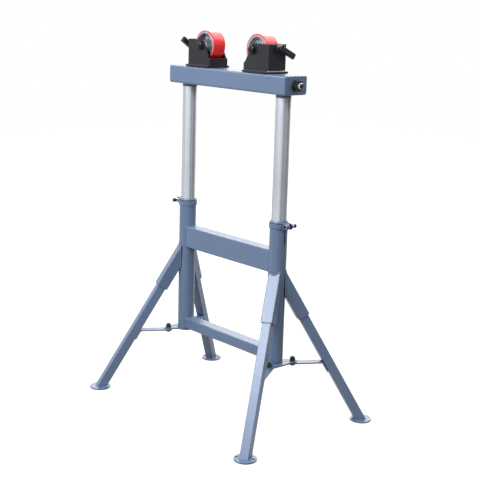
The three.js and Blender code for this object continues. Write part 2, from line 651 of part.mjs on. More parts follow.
// Cast wheel centre: rim, thin web, long hub and ribs on both faces.
function wheelCoreSolid() {
  const rimInner = CORE_RADIUS - RIM_THICKNESS;
  const hubRadius = HUB_DIAMETER / 2;
  const bore = clearRadius(BEARING_DIAMETER / 2, WELD_GAP, LARGE_SIDES);
  const width = WHEEL_WIDTH / 2;
  const web = WEB_THICKNESS / 2;
  const hub = HUB_LENGTH / 2;
  const body = turnedY([
    [bore, -hub],
    [hubRadius, -hub],
    [hubRadius, -web],
    [rimInner, -web],
    [rimInner, -width],
    [CORE_RADIUS, -width],
    [CORE_RADIUS, width],
    [rimInner, width],
    [rimInner, web],
    [hubRadius, web],
    [hubRadius, hub],
    [bore, hub],
    [bore, -hub],
  ], LARGE_SIDES);
  const ribFrom = (bore + hubRadius) / 2;
  const ribTo = CORE_RADIUS - RIM_THICKNESS / 2;
  const ribHalf = width - RIB_RECESS;
  const ribs = [];
  for (let rib = 0; rib < RIB_COUNT; rib += 1) {
    const bar = block(ribFrom, ribTo, -ribHalf, ribHalf, -RIB_THICKNESS / 2, RIB_THICKNESS / 2);
    ribs.push(bar.rotateY((2 * Math.PI * rib) / RIB_COUNT));
  }
  return join(body, ...ribs);
}

function tyreSolid() {
  const inner = clearRadius(CORE_RADIUS, WELD_GAP, LARGE_SIDES);
  const width = WHEEL_WIDTH / 2;
  return toSolid(turnedY([
    [inner, -width],
    [WHEEL_RADIUS - TYRE_EDGE, -width],
    [WHEEL_RADIUS, -width + TYRE_EDGE],
    [WHEEL_RADIUS, width - TYRE_EDGE],
    [WHEEL_RADIUS - TYRE_EDGE, width],
    [inner, width],
    [inner, -width],
  ], LARGE_SIDES));
}

function bearingSolid() {
  const bore = clearRadius(AXLE_DIAMETER / 2, AXLE_GAP, SMALL_SIDES);
  const half = HUB_LENGTH / 2;
  return toSolid(prismY(ringShape(BEARING_DIAMETER / 2, bore, SMALL_SIDES), -half, half));
}

// Brake pad between the tyre and the bracket's end, hollowed for the tip of its screw.
function brakePadSolid() {
  const back = PAD_FACE + BRAKE_PAD_THICKNESS;
  const tipRadius = clearRadius(BRAKE_TIP_DIAMETER / 2, RUNNING_GAP, SMALL_SIDES);
  const disc = prismX(circleShape(BRAKE_PAD_DIAMETER / 2, SMALL_SIDES), PAD_FACE, back);
  const socketStart = back - BRAKE_TIP_LENGTH - WELD_GAP;
  const socket = prismX(circleShape(tipRadius, SMALL_SIDES), socketStart, back + BRAKE_TIP_LENGTH);
  return cut(toSolid(disc), socket);
}

// Brake screw: tip in the pad, thread through the bracket's end, hexagon collar and lever stem.
function brakeScrewSolid() {
  const shoulder = PAD_FACE + BRAKE_PAD_THICKNESS + WELD_GAP;
  const collarStart = BRACKET_OUTER + BRAKE_COLLAR_OFFSET;
  const collarEnd = collarStart + BRAKE_COLLAR_LENGTH;
  const tipRound = circleShape(BRAKE_TIP_DIAMETER / 2, SMALL_SIDES);
  const tip = prismX(tipRound, shoulder - BRAKE_TIP_LENGTH, collarStart);
  const round = circleShape(BRAKE_SCREW_DIAMETER / 2, SMALL_SIDES);
  const shank = prismX(round, shoulder, collarEnd + BRAKE_STEM_LENGTH);
  const collar = prismX(hexagonShape(BRAKE_COLLAR_WIDTH), collarStart, collarEnd);
  return join(tip, shank, collar);
}

// Lever: round hub on the screw's stem and one arm that rises away from the bracket.
function brakeLeverSolid() {
  const start = BRACKET_OUTER + BRAKE_COLLAR_OFFSET + BRAKE_COLLAR_LENGTH + WELD_GAP;
  const end = start + LEVER_HUB_LENGTH;
  const hub = prismX(circleShape(LEVER_HUB_DIAMETER / 2, SMALL_SIDES), start, end);
  const inset = LEVER_ROUNDING;
  const tipY = LEVER_LENGTH - LEVER_THICKNESS / 2;
  const middle = (start + end) / 2;
  const half = LEVER_THICKNESS / 2 - inset;
  const outline = new THREE.Shape([
    new THREE.Vector2(middle - half, 0),
    ...arcPoints(middle + LEVER_RISE, tipY, half, Math.PI, 0, 2 * CORNER_STEPS),
    new THREE.Vector2(middle + half, 0),
  ]);
  const arm = new THREE.ExtrudeGeometry(outline, {
    depth: LEVER_WIDTH - 2 * inset,
    bevelEnabled: true,
    bevelThickness: inset,
    bevelSize: inset,
    bevelSegments: 2,
  });
  arm.translate(0, 0, inset - LEVER_WIDTH / 2);
  const stemRadius = clearRadius(BRAKE_SCREW_DIAMETER / 2, RUNNING_GAP, SMALL_SIDES);
  const stemEnd = start + BRAKE_STEM_LENGTH;
  const socket = prismX(circleShape(stemRadius, SMALL_SIDES), start - BRAKE_STEM_LENGTH, stemEnd);
  return cut(join(hub, arm), socket);
}

function legGroup(corner, azimuth) {
  const group = new THREE.Group();
  group.rotation.z = azimuth;
  group.add(
    piece(`leg_socket_${corner}`, socketSolid(), 'frame_paint'),
    piece(`leg_${corner}`, legSolid(), 'frame_paint'),
    piece(`foot_${corner}`, footSolid(), 'frame_paint'),
    piece(`stay_strap_${corner}`, strapSolid(), 'frame_paint'),
    piece(`stay_bolt_${corner}`, stayBoltSolid(), 'black_steel'),
  );
  return group;
}

// One post with its sleeve, collar and two legs; outward is +X of the group.
function postGroup(side, corners) {
  const group = new THREE.Group();
  group.add(
    piece(`sleeve_${side}`, sleeveSolid(), 'frame_paint'),
    piece(`clamp_collar_${side}`, collarSolid(), 'frame_paint'),
    piece(`stay_plate_${side}`, stayPlateSolid(), 'frame_paint'),
    piece(`post_${side}`, postSolid(), 'chrome'),
    legGroup(corners[0], -LEG_AZIMUTH),
    legGroup(corners[1], LEG_AZIMUTH),
  );
  const screw = piece(`clamp_screw_${side}`, clampScrewSolid(), 'black_steel');
  screw.position.set(CLAMP_REACH, 0, COLLAR_MIDDLE);
  group.add(screw);
  return group;
}

function beamGroup() {
  const group = new THREE.Group();
  const leftPlate = piece('beam_end_left', endPlateSolid(), 'frame_paint');
  leftPlate.rotation.z = Math.PI;
  group.add(
    piece('beam', beamSolid(), 'frame_paint'),
    piece('beam_end_right', endPlateSolid(), 'frame_paint'),
    leftPlate,
  );
  const screw = new THREE.Group();
  screw.position.z = SCREW_HEIGHT;
  screw.add(
    piece('adjusting_screw', adjustingScrewSolid(), 'zinc'),
    piece('adjusting_screw_nut', screwNutSolid(), 'black_steel'),
    piece('thrust_collar', thrustCollarSolid(), 'zinc'),
  );
  group.add(screw);
  return group;
}

// Roller block about its axle's foot on the beam; outward is +X of the group.
function blockGroup(side, brakeHeight, leverAngle, turn) {
  const group = new THREE.Group();
  group.add(
    piece(`block_nut_${side}`, blockNutSolid(), 'bronze'),
    piece(`block_base_${side}`, basePlateSolid(), 'black_paint'),
    piece(`block_bracket_${side}`, bracketSolid(brakeHeight), 'black_paint'),
    piece(`block_lip_${side}`, lipSolid(), 'black_paint'),
  );
  const wheel = new THREE.Group();
  wheel.position.z = AXLE_HEIGHT;
  wheel.rotation.z = turn;
  wheel.add(
    piece(`axle_bolt_${side}`, axleSolid(), 'black_steel'),
    piece(`wheel_core_${side}`, wheelCoreSolid(), 'cast_core'),
    piece(`wheel_tyre_${side}`, tyreSolid(), 'red_tyre'),
    piece(`wheel_bearing_${side}`, bearingSolid(), 'zinc'),
  );
  const brake = new THREE.Group();
  brake.position.z = brakeHeight;
  brake.rotation.x = THREE.MathUtils.degToRad(leverAngle);
  brake.add(
    piece(`brake_pad_${side}`, brakePadSolid(), 'black_steel'),
    piece(`brake_screw_${side}`, brakeScrewSolid(), 'zinc'),
    piece(`brake_lever_${side}`, brakeLeverSolid(), 'lever_plastic'),
  );
  group.add(wheel, brake);
  return group;
}

function rollerStand() {
  const stand = new THREE.Group();
  const halfSpacing = POST_SPACING / 2;
  const rightPost = postGroup('right', ['front_right', 'back_right']);
  rightPost.position.x = halfSpacing;
  const leftPost = postGroup('left', ['back_left', 'front_left']);
  leftPost.position.x = -halfSpacing;
  leftPost.rotation.z = Math.PI;
  const rightBlock = blockGroup('right', RIGHT_BRAKE_HEIGHT, RIGHT_LEVER_ANGLE, 0);
  rightBlock.position.set(AXLE_OFFSET, 0, BEAM_TOP);
  const leftBlock = blockGroup('left', LEFT_BRAKE_HEIGHT, LEFT_LEVER_ANGLE, Math.PI);
  leftBlock.position.set(-AXLE_OFFSET, 0, BEAM_TOP);
  leftBlock.rotation.z = Math.PI;
  stand.add(
    rightPost,
    leftPost,
    piece('upper_rail', railSolid(UPPER_RAIL_BOTTOM, UPPER_RAIL_HEIGHT), 'frame_paint'),
    piece('lower_rail', railSolid(LOWER_RAIL_BOTTOM, LOWER_RAIL_HEIGHT), 'frame_paint'),
    beamGroup(),
    rightBlock,
    leftBlock,
  );
  return stand;
}

export default rollerStand();
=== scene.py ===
"""Pipe roller stand: finished pieces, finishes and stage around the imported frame.

Metres, +Z up. X runs along the beam and Y along the pipe that the rollers carry.
The right half is modelled about its own post, leg or axle, then set in place; the left half is the
right one turned half a turn about the stand's upright axis.
"""

import math

import bmesh
import bpy
from mathutils import Matrix, Vector


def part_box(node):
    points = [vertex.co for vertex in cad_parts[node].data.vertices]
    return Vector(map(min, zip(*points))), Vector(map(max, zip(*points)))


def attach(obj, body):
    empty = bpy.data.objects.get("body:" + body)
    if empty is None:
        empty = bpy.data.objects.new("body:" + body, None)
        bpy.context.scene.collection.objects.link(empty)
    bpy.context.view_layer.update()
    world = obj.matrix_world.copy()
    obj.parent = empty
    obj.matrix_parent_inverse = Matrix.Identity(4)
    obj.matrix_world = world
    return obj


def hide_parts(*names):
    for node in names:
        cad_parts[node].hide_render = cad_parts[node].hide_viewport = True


bl_info = {
    "name": "Pipe Roller Stand",
    "version": (1, 0, 0),
    "blender": (4, 5, 0),
    "location": "View3D > Sidebar > Roller Stand",
    "description": "Models the finished pieces of a pipe roller stand on its packed frame",
    "category": "Object",
}

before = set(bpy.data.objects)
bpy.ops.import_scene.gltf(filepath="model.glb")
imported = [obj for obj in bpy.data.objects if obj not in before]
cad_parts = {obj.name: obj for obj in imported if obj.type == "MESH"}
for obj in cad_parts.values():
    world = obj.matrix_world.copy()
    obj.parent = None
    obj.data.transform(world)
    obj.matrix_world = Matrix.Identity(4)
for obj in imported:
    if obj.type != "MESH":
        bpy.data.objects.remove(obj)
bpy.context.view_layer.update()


def extent(node, axis):
    """Lowest and highest place of a CAD node along an axis."""
    low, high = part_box(node)
    return getattr(low, axis), getattr(high, axis)


def middle_of(node, axis):
    return sum(extent(node, axis)) / 2


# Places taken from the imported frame
POST_X = middle_of("post_right", "x")
POST_LOW, POST_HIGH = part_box("post_right")
POST_RADIUS = (POST_HIGH.x - POST_LOW.x) / 2
SLEEVE_BOTTOM, SLEEVE_TOP = extent("sleeve_right", "z")
COLLAR_BOTTOM = extent("clamp_collar_right", "z")[0]
BEAM_BOTTOM, BEAM_TOP = extent("beam", "z")
BEAM_END = extent("beam_end_right", "x")[1]
SCREW_HEIGHT = (BEAM_BOTTOM + BEAM_TOP) / 2
AXLE_X = middle_of("wheel_tyre_right", "x")
AXLE_HEIGHT = middle_of("wheel_tyre_right", "z")
BRACKET_FACE = extent("block_bracket_right", "x")[1] - AXLE_X
FOOT_CENTRE = (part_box("foot_front_right")[0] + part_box("foot_front_right")[1]) / 2
FOOT_REACH = math.hypot(FOOT_CENTRE.y, FOOT_CENTRE.x - POST_X)
LEG_AZIMUTH = math.atan2(-FOOT_CENTRE.y, FOOT_CENTRE.x - POST_X)

# Ways the right half is set down, and the half turn that makes the left half of it
QUARTER = math.pi / 2
AT_ORIGIN = Matrix.Identity(4)
AT_POST = Matrix.Translation((POST_X, 0, 0))
AT_BLOCK = Matrix.Translation((AXLE_X, 0, BEAM_TOP))
HALF_TURN = Matrix.Rotation(math.pi, 4, "Z")
LAID_ALONG_X = Matrix.Rotation(QUARTER, 4, "Y")
LAID_ALONG_Y = Matrix.Rotation(-QUARTER, 4, "X")

# Fineness of the meshes
SMOOTH_ANGLE = math.radians(32)
MERGE_DISTANCE = 1e-6
WHEEL_STEPS = 96
ROUND_STEPS = 72
SMALL_STEPS = 40
CORNER_STEPS = 6

# Fits and cutters
FIT_GAP = 0.0001  # between pieces that touch
SEAT_GAP = 0.0002  # under heads and washers
SCREW_GAP = 0.0003  # round the adjusting screw
PAST = 0.01  # how far a cutter reaches beyond what it cuts
WIDE = 0.1  # half the breadth of a cutter that is wider than any piece
BEAD_STEP = 0.0022  # between the ripples of a weld
TUBE_EDGE = 0.0006  # broken edge of a round tube
RIPPLES = ((0.14, 2.1), (0.05, 0.37))  # swell of a weld as a share of its radius, and radians a step
CHAMFER_ANGLE = math.radians(30)
CHAMFER_START = 0.47  # of a hexagon's width across flats
THREAD_DEPTH = 0.55  # of a pitch
THREAD_CREST = 0.15  # half the flat of a ridge, of a pitch


def setting(label, value, description, **options):
    """A number or a row of three that a user may change."""
    kind = bpy.props.FloatVectorProperty if isinstance(value, tuple) else bpy.props.FloatProperty
    return kind(name=label, description=description, default=value, **options)


def length(label, value, description):
    return setting(label, value, description, min=0.0, unit="LENGTH", precision=5)


def angle(label, degrees, description):
    return setting(label, math.radians(degrees), description, subtype="ANGLE")


def colour(label, value, description):
    """A finish colour, given as it looks on a screen."""
    return setting(label, value, description, min=0.0, max=1.0, size=3, subtype="COLOR_GAMMA")


class StandSizes(bpy.types.PropertyGroup):
    """Sizes of the finished pieces."""

    sleeve_radius: length("Sleeve radius", 0.03, "Outer radius of each sleeve")
    sleeve_wall: length("Sleeve wall", 0.004, "Wall of each sleeve")
    post_wall: length("Post wall", 0.003, "Wall of each plated post")
    paint_band: length("Paint band", 0.0115, "Height of the painted top of each post")
    collar_lip: length("Collar lip", 0.0072, "Height of the rounded lip above the band of each collar")
    collar_thickness: length("Collar thickness", 0.003, "Thickness of each clamp collar")
    split_width: length("Split width", 0.009, "Width of the split in each collar")
    slit_width: length("Slit width", 0.0045, "Width of the slit in each sleeve")
    slit_length: length("Slit length", 0.075, "Length of the slit down each sleeve")
    ear_thickness: length("Ear thickness", 0.0055, "Thickness of each clamp ear")
    clamp_reach: length("Clamp reach", 0.048, "From a post's axis to its clamp screw")
    rail_depth: length("Rail depth", 0.047, "Depth of both cross rails")
    rail_wall: length("Rail wall", 0.003, "Wall of both cross rails")
    rail_corner: length("Rail corner", 0.0045, "Outer corner radius of both cross rails")
    leg_apex: length("Leg apex", 0.548, "Height at which a leg's axis meets its post's axis")
    leg_size: length("Leg size", 0.032, "Outer width of each square leg")
    leg_twist: angle("Leg twist", 6, "Turn of each leg about its own length")
    leg_wall: length("Leg wall", 0.003, "Wall of each leg")
    leg_corner: length("Leg corner", 0.0022, "Outer corner radius of each leg")
    leg_insertion: length("Leg insertion", 0.07, "Length of each leg inside its socket")
    socket_size: length("Socket size", 0.042, "Outer width of each leg socket")
    socket_wall: length("Socket wall", 0.0045, "Wall of each leg socket")
    socket_corner: length("Socket corner", 0.0025, "Outer corner radius of each leg socket")
    socket_notch: length("Socket notch", 0.003, "Depth to which a sleeve is let into a socket's upright end")
    socket_end: length("Socket end", 0.188, "Along the leg, from the post's axis")
    foot_radius: length("Foot radius", 0.0375, "Radius of each foot")
    foot_thickness: length("Foot thickness", 0.006, "Thickness of each foot")
    foot_hole_radius: length("Foot hole radius", 0.0045, "Radius of each floor-bolt hole")
    foot_hole_offset: length("Foot hole offset", 0.029, "From a foot's middle to a hole")
    stay_bolt_reach: length("Stay bolt reach", 0.065, "From a post's axis to a stay bolt")
    stay_width: length("Stay width", 0.03, "Width of the stay straps and plate arms")
    stay_thickness: length("Stay thickness", 0.005, "Thickness of the stay straps and plates")
    strap_tab: length("Strap tab", 0.039, "Length of a strap below its bend")
    strap_bend: length("Strap bend", 0.009, "Radius of a strap's bend")
    beam_depth: length("Beam depth", 0.1, "Depth of the beam")
    beam_wall: length("Beam wall", 0.004, "Wall of the beam")
    beam_corner: length("Beam corner", 0.008, "Outer corner radius of the beam")
    end_plate: length("End plate", 0.005, "Thickness of each end plate")
    end_rounding: length("End rounding", 0.0042, "Rounding of each end plate's rim")
    screw_radius: length("Screw radius", 0.01, "Radius of the adjusting screw")
    bracket_bend: length("Bracket bend", 0.0065, "Outer bend radius of each bracket")
    wheel_radius: length("Wheel radius", 0.051, "Radius of each tyre")
    wheel_width: length("Wheel width", 0.052, "Width of each wheel")
    tyre_thickness: length("Tyre thickness", 0.0048, "Thickness of each tyre")
    weld_radius: length("Weld radius", 0.0022, "Radius of the weld beads")


class StandFinishes(bpy.types.PropertyGroup):
    """Colours of the finishes."""

    frame_paint: colour("Frame paint", (0.424, 0.500, 0.616), "Enamel of the frame and the beam")
    # Painted light: the frame paint made paler, standing in for the brighter light that the legs, feet and
    # straps get near the floor
    leg_paint: colour("Leg paint", (0.450, 0.530, 0.656), "Paler enamel of the legs, feet and straps")
    black_paint: colour("Black paint", (0.128, 0.134, 0.155), "Satin paint of the roller blocks")
    chrome: colour("Chrome", (0.865, 0.885, 0.92), "Plating of the posts")
    zinc: colour("Zinc", (0.80, 0.81, 0.83), "Plating of screws and bearings")
    # Also the colour of the painted shade that blackens slit walls, the collar groove and the adjusting
    # screw's end face
    black_steel: colour("Black steel", (0.085, 0.087, 0.095), "Blackened bolts and nuts")
    cast_metal: colour("Cast metal", (0.70, 0.71, 0.73), "Wheel centres")
    tyre: colour("Tyre", (1.0, 0.09, 0.10), "Polyurethane tyres")
    bronze: colour("Bronze", (0.62, 0.48, 0.28), "Nuts of the roller blocks")
    plastic: colour("Plastic", (0.082, 0.084, 0.092), "Brake levers")


class StandStage(bpy.types.PropertyGroup):
    """Camera and lamps."""

    camera_place: setting(
        "Camera place", (2.7063, -2.3769, 1.4263), "Where the camera stands", subtype="TRANSLATION"
    )
    camera_target: setting(
        "Camera target", (0.0496, 0.0, 0.6132), "Point in the middle of the view", subtype="TRANSLATION"
    )
    camera_roll: angle("Camera roll", 1.65, "Tilt of the camera about its view")
    camera_lens: setting("Camera lens", 79.31, "Focal length in millimetres", min=0.0)
    ambient: setting("Ambient", 0.335, "Strength of the light from all round", min=0.0)
    key: setting("Key lamp", 86.0, "Power of the large lamp in front", min=0.0)
    left: setting("Left lamp", 28.0, "Power of the small lamp at the left", min=0.0)
    right: setting("Right lamp", 23.0, "Power of the small lamp at the right", min=0.0)
    overhead: setting("Overhead lamp", 51.0, "Power of the large lamp above", min=0.0)
    back: setting("Back lamp", 255.0, "Power of the wide lamp behind", min=0.0)


# Drawing and shaping


def arc(centre_a, centre_b, radius, start, end, steps=CORNER_STEPS):
    """Points of an arc in a plane."""
    points = []
    for step in range(steps + 1):
        turn = start + (end - start) * step / steps
        points.append((centre_a + radius * math.cos(turn), centre_b + radius * math.sin(turn)))
    return points


def rounded_rectangle(width, height, corner, shift=0.0):
    """Outline about a point that may be shifted along its width."""
    a = width / 2 - corner
    b = height / 2 - corner
    quarters = ((a, -b), (a, b), (-a, b), (-a, -b))
    points = []
    for count, (centre_a, centre_b) in enumerate(quarters):
        points += arc(centre_a, centre_b, corner, (count - 1) * QUARTER, count * QUARTER)
    return [(x + shift, y) for x, y in points]


def slot_outline(start, end, radius):
    """Two half circles about the ends of a line."""
    turns = 2 * CORNER_STEPS
    return arc(end, 0, radius, -QUARTER, QUARTER, turns) + arc(start, 0, radius, QUARTER, 3 * QUARTER, turns)


def mirrored(profile):
    """Profile of a turned piece with the same shape below height zero."""
    return profile + [(radius, -height) for radius, height in reversed(profile)]


def on_xy(points, z):
    return [Vector((a, b, z)) for a, b in points]


def on_yz(points, x, height=0.0):
    return [Vector((x, a, b + height)) for a, b in points]


def on_xz(points, y, height=0.0):
    return [Vector((a, y, b + height)) for a, b in points]


def named(piece, name):
    piece.name = name
    piece.data.name = name
    return piece


def deselect_all():
    if bpy.context.mode != "OBJECT":
        bpy.ops.object.mode_set(mode="OBJECT")
    bpy.ops.object.select_all(action="DESELECT")


def make_active(piece):
    deselect_all()
    piece.select_set(True)
    bpy.context.view_layer.objects.active = piece


def ring_of_points(name, points, fill):
    """A circle with one corner for each point, its corners then moved to the points."""
    deselect_all()
    bpy.ops.mesh.primitive_circle_add(vertices=len(points), radius=1.0, fill_type=fill)
    piece = named(bpy.context.object, name)
    for vertex, place in zip(piece.data.vertices, points):
        vertex.co = place
    return piece


def open_ring(piece):
    """In edit mode, takes away the edge between a ring's first corner and its last."""
    bpy.ops.mesh.select_all(action="DESELECT")
    shape = bmesh.from_edit_mesh(piece.data)
    shape.verts.ensure_lookup_table()
    shape.edges.get((shape.verts[0], shape.verts[-1])).select_set(True)
    bmesh.update_edit_mesh(piece.data)
    bpy.ops.mesh.delete(type="EDGE_FACE")


def face_outward():
    bpy.ops.mesh.select_all(action="SELECT")
    bpy.ops.mesh.remove_doubles(threshold=MERGE_DISTANCE)
    bpy.ops.mesh.normals_make_consistent(inside=False)
    bpy.ops.object.mode_set(mode="OBJECT")


def extruded(name, points, vector):
    """Solid bar: a flat outline drawn out along a vector."""
    piece = ring_of_points(name, points, "NGON")
    bpy.ops.object.mode_set(mode="EDIT")
    bpy.ops.mesh.select_all(action="SELECT")
    bpy.ops.mesh.extrude_region_move(TRANSFORM_OT_translate={"value": vector})
    face_outward()
    return piece


def turned(name, profile, closed=False, steps=SMALL_STEPS):
    """Turned piece about Z from (radius, height) points; a closed profile makes a ring."""
    piece = ring_of_points(name, [(radius, 0, height) for radius, height in profile], "NOTHING")
    bpy.ops.object.mode_set(mode="EDIT")
    if not closed:
        open_ring(piece)
    bpy.ops.mesh.select_all(action="SELECT")
    bpy.ops.mesh.spin(steps=steps, angle=2 * math.pi, center=(0, 0, 0), axis=(0, 0, 1))
    face_outward()
    return piece


def tube(name, outer, inner, low, high):
    """Round tube about Z with broken edges."""
    edge = TUBE_EDGE
    profile = [
        (inner + edge, low), (outer - edge, low), (outer, low + edge), (outer, high - edge),
        (outer - edge, high), (inner + edge, high), (inner, high - edge), (inner, low + edge),
    ]
    return turned(name, profile, closed=True, steps=ROUND_STEPS)


def box_tube(name, section, corner, wall, inner_corner, ends, height=0.0):
    """Tube along X with a rounded rectangular section, a height above the floor."""
    width, depth = section
    start, end = ends
    outline = on_yz(rounded_rectangle(width, depth, corner), start, height)
    piece = extruded(name, outline, (end - start, 0, 0))
    hollow = on_yz(rounded_rectangle(width - 2 * wall, depth - 2 * wall, inner_corner), start - PAST, height)
    return cut(piece, extruded("hollow", hollow, (end - start + 2 * PAST, 0, 0)))


def bar(name, low, high):
    """Box between two corners."""
    low = Vector(low)
    high = Vector(high)
    deselect_all()
    bpy.ops.mesh.primitive_cube_add(size=1.0, location=(low + high) / 2, scale=high - low)
    bpy.ops.object.transform_apply(location=True, rotation=True, scale=True)
    return named(bpy.context.object, name)


def rod(name, radius, start, end, steps=SMALL_STEPS):
    """Round cutter or plain pin between two points."""
    axis = Vector(end) - Vector(start)
    piece = turned(name, [(0, 0), (radius, 0), (radius, axis.length), (0, axis.length)], steps=steps)
    return moved(piece, Matrix.Translation(start) @ axis.to_track_quat("Z", "Y").to_matrix().to_4x4())


def moved(piece, matrix):
    piece.data.transform(matrix)
    piece.data.update()
    return piece


def twin(piece, name, matrix):
    """Copy with a mesh of its own, moved by a matrix."""
    other = piece.copy()
    other.data = piece.data.copy()
    bpy.context.scene.collection.objects.link(other)
    return moved(named(other, name), matrix)


def with_modifier(piece, kind, **values):
    """Piece with a modifier applied."""
    make_active(piece)
    bpy.ops.object.modifier_add(type=kind)
    modifier = piece.modifiers[-1]
    for key, value in values.items():
        setattr(modifier, key, value)
    bpy.ops.object.modifier_apply(modifier=modifier.name)
    return piece


def combine(piece, tool, operation):
    """Boolean of a piece with a tool, which it uses up."""
    with_modifier(piece, "BOOLEAN", operation=operation, solver="EXACT", object=tool)
    bpy.data.objects.remove(tool)
    return piece


def cut(piece, *tools):
    for tool in tools:
        combine(piece, tool, "DIFFERENCE")
    return piece


def drilled(piece, radius, start, end):
    return cut(piece, rod("drill", radius, start, end))


def joined(piece, *tools):
    for tool in tools:
        combine(piece, tool, "UNION")
    return piece


def soften(piece, width, segments=2, degrees=30):
    """Rounds every edge that is sharper than an angle."""
    return with_modifier(piece, "BEVEL", width=width, segments=segments, limit_method="ANGLE",
                         angle_limit=math.radians(degrees))


def join_pieces(piece, *others):
    """Loose parts of one piece made one object."""
    make_active(piece)
    for other in others:
        other.select_set(True)
    bpy.ops.object.join()
    return piece


def weld_bead(name, points, radius):
    """Closed bead along points, with the ripples of a welded seam."""
    ring_of_points(name, points, "NOTHING")
    bpy.ops.object.convert(target="CURVE")
    line = bpy.context.object.data
    line.bevel_depth = radius
    line.bevel_resolution = 2
    for count, knot in enumerate(line.splines[0].points):
        knot.radius = sum((share * math.sin(turn * count) for share, turn in RIPPLES), 1.0)
    bpy.ops.object.convert(target="MESH")
    return bpy.context.object


def along(points):
    """Closed line through points, cut into the even steps of a weld."""
    corners = [Vector(place) for place in points]
    lengths = [(b - a).length for a, b in zip(corners, corners[1:] + corners[:1])]
    total = sum(lengths)
    count = round(total / BEAD_STEP)
    evenly = []
    edge = 0
    passed = 0.0
    for step in range(count):
        reach = total * step / count
        while passed + lengths[edge] < reach:
            passed += lengths[edge]
            edge += 1
        share = (reach - passed) / lengths[edge]
        evenly.append(corners[edge].lerp(corners[(edge + 1) % len(corners)], share))
    return evenly


def seam(name, section, corner, radius, place):
    """Weld bead round a rounded rectangle, each point of which a function sets in space."""
    outline = along([(a, b, 0) for a, b in rounded_rectangle(*section, corner)])
    return weld_bead(name, [place(spot) for spot in outline], radius)


def hexagon(name, across_flats, low, high, chamfer_low=True, chamfer_high=True):
    """Hexagon head or nut with turned corners, its axis along Z."""
    radius = across_flats / math.sqrt(3)
    corners = arc(0, 0, radius, QUARTER, QUARTER + 2 * math.pi, 6)[:-1]
    piece = extruded(name, on_xy(corners, low), (0, 0, high - low))
    flat = CHAMFER_START * across_flats
    drop = (radius - flat) * math.tan(CHAMFER_ANGLE)
    profile = [(0, low)]
    profile += [(flat, low), (radius, low + drop)] if chamfer_low else [(radius, low)]
    profile += [(radius, high - drop), (flat, high)] if chamfer_high else [(radius, high)]
    profile += [(0, high)]
    combine(piece, turned("turned_corners", profile), "INTERSECT")
    return soften(piece, 0.00025)


def ridges(radius, depth, pitch, crest, start, stop):
    """Profile of thread ridges between two heights; the crest is a share of the pitch."""
    points = []
    while start + pitch < stop:
        points += [(radius, start + crest * pitch), (radius - depth, start + 0.5 * pitch)]
        points += [(radius, start + (1 - crest) * pitch)]
        start += pitch
    return points


def threaded(name, radius, low, high, pitch, thread_low, thread_high):
    """Rod along Z with chamfered ends and thread ridges between two heights."""
    depth = THREAD_DEPTH * pitch
    start = max(thread_low, low + depth)
    profile = [(0, low), (radius - depth, low), (radius, low + depth)]
    profile += ridges(radius, depth, pitch, THREAD_CREST, start, min(thread_high, high - depth))
    profile += [(radius, high - depth), (radius - depth, high), (0, high)]
    return turned(name, profile)


def fillet(start, corner, end, radius):
    """Line from start to end by way of a corner, with the corner rounded, in the XZ plane."""
    into = (start - corner).normalized()
    away = (end - corner).normalized()
    half = into.angle(away) / 2
    back = radius / math.tan(half)
    middle = corner + (into + away).normalized() * (radius / math.sin(half))
    first = corner + into * back - middle
    last = corner + away * back - middle
    sweep = first.angle(last)
    axis = first.cross(last).normalized()
    points = [start]
    for step in range(CORNER_STEPS + 1):
        points.append(middle + Matrix.Rotation(sweep * step / CORNER_STEPS, 3, axis) @ first)
    return points + [end]


def ribbon(name, centre_line, thickness, width):
    """Flat bar of a thickness along a line in the XZ plane, its width along Y."""
    upper = []
    lower = []
    for count, spot in enumerate(centre_line):
        before = centre_line[max(count - 1, 0)]
        after = centre_line[min(count + 1, len(centre_line) - 1)]
        tangent = (after - before).normalized()
        normal = Vector((-tangent.z, 0, tangent.x))
        upper.append(spot + normal * thickness / 2)
        lower.append(spot - normal * thickness / 2)
    outline = [Vector((p.x, -width / 2, p.z)) for p in upper + lower[::-1]]
    return extruded(name, outline, (0, width, 0))


def paint_faces(piece, finish, chosen):
    """Gives a second finish to the faces whose middle is chosen."""
    piece.data.materials.append(bpy.data.materials[f"{finish}_finish"])
    index = len(piece.data.materials) - 1
    for face in piece.data.polygons:
        if chosen(face.center):
            face.material_index = index


def paint_slit_shade(piece, width):
    """Paints shade on the walls of a slit that opens toward +X, blackening them with the black steel finish.
    """
    paint_faces(piece, "black_steel", lambda c: c.x > 0 and abs(abs(c.y) - width / 2) < MERGE_DISTANCE)


def dress(piece, finish):
    """Smooth shading by angle and one finish."""
    make_active(piece)
    bpy.ops.object.shade_smooth_by_angle(angle=SMOOTH_ANGLE)
    with_modifier(piece, "WEIGHTED_NORMAL", keep_sharp=True)
    piece.data.materials.clear()
    piece.data.materials.append(bpy.data.materials[f"{finish}_finish"])
    return piece


def install(piece, body, slot, *nodes):
    """Rides a finished piece on its body and lets it stand for its CAD nodes."""
    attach(piece, body)
    if nodes:
        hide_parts(*nodes)


def install_pair(piece, stem, place, body, slot, node=True, left_place=None):
    """Right piece set in place and its twin on the left, half turned unless a place is given for it."""
    if left_place is None:
        left_place = HALF_TURN @ place
    left = twin(piece, stem, left_place)
    for side, one in (("right", moved(piece, place)), ("left", left)):
        nodes = [f"{stem}_{side}"] if node else []
        install(named(one, f"{stem}_{side}_piece"), body.format(side=side), slot, *nodes)


def install_at_legs(piece, stem, slot, node=True, sides=(-1, 1)):
    """One piece of a leg, made about azimuth zero, set at the corners on one or both sides of the posts."""
    for side in sides:
        place = AT_POST @ Matrix.Rotation(side * LEG_AZIMUTH, 4, "Z")
        right, left = ("front_right", "back_left") if side < 0 else ("back_right", "front_left")
        for corner, matrix in ((right, place), (left, HALF_TURN @ place)):
            nodes = [f"{stem}_{corner}"] if node else []
            install(twin(piece, f"{stem}_{corner}_piece", matrix), "base_frame", slot, *nodes)
    bpy.data.objects.remove(piece)


# Finishes


NOISE_RANGE = (0.3, 0.7)  # between which most of a noise lies


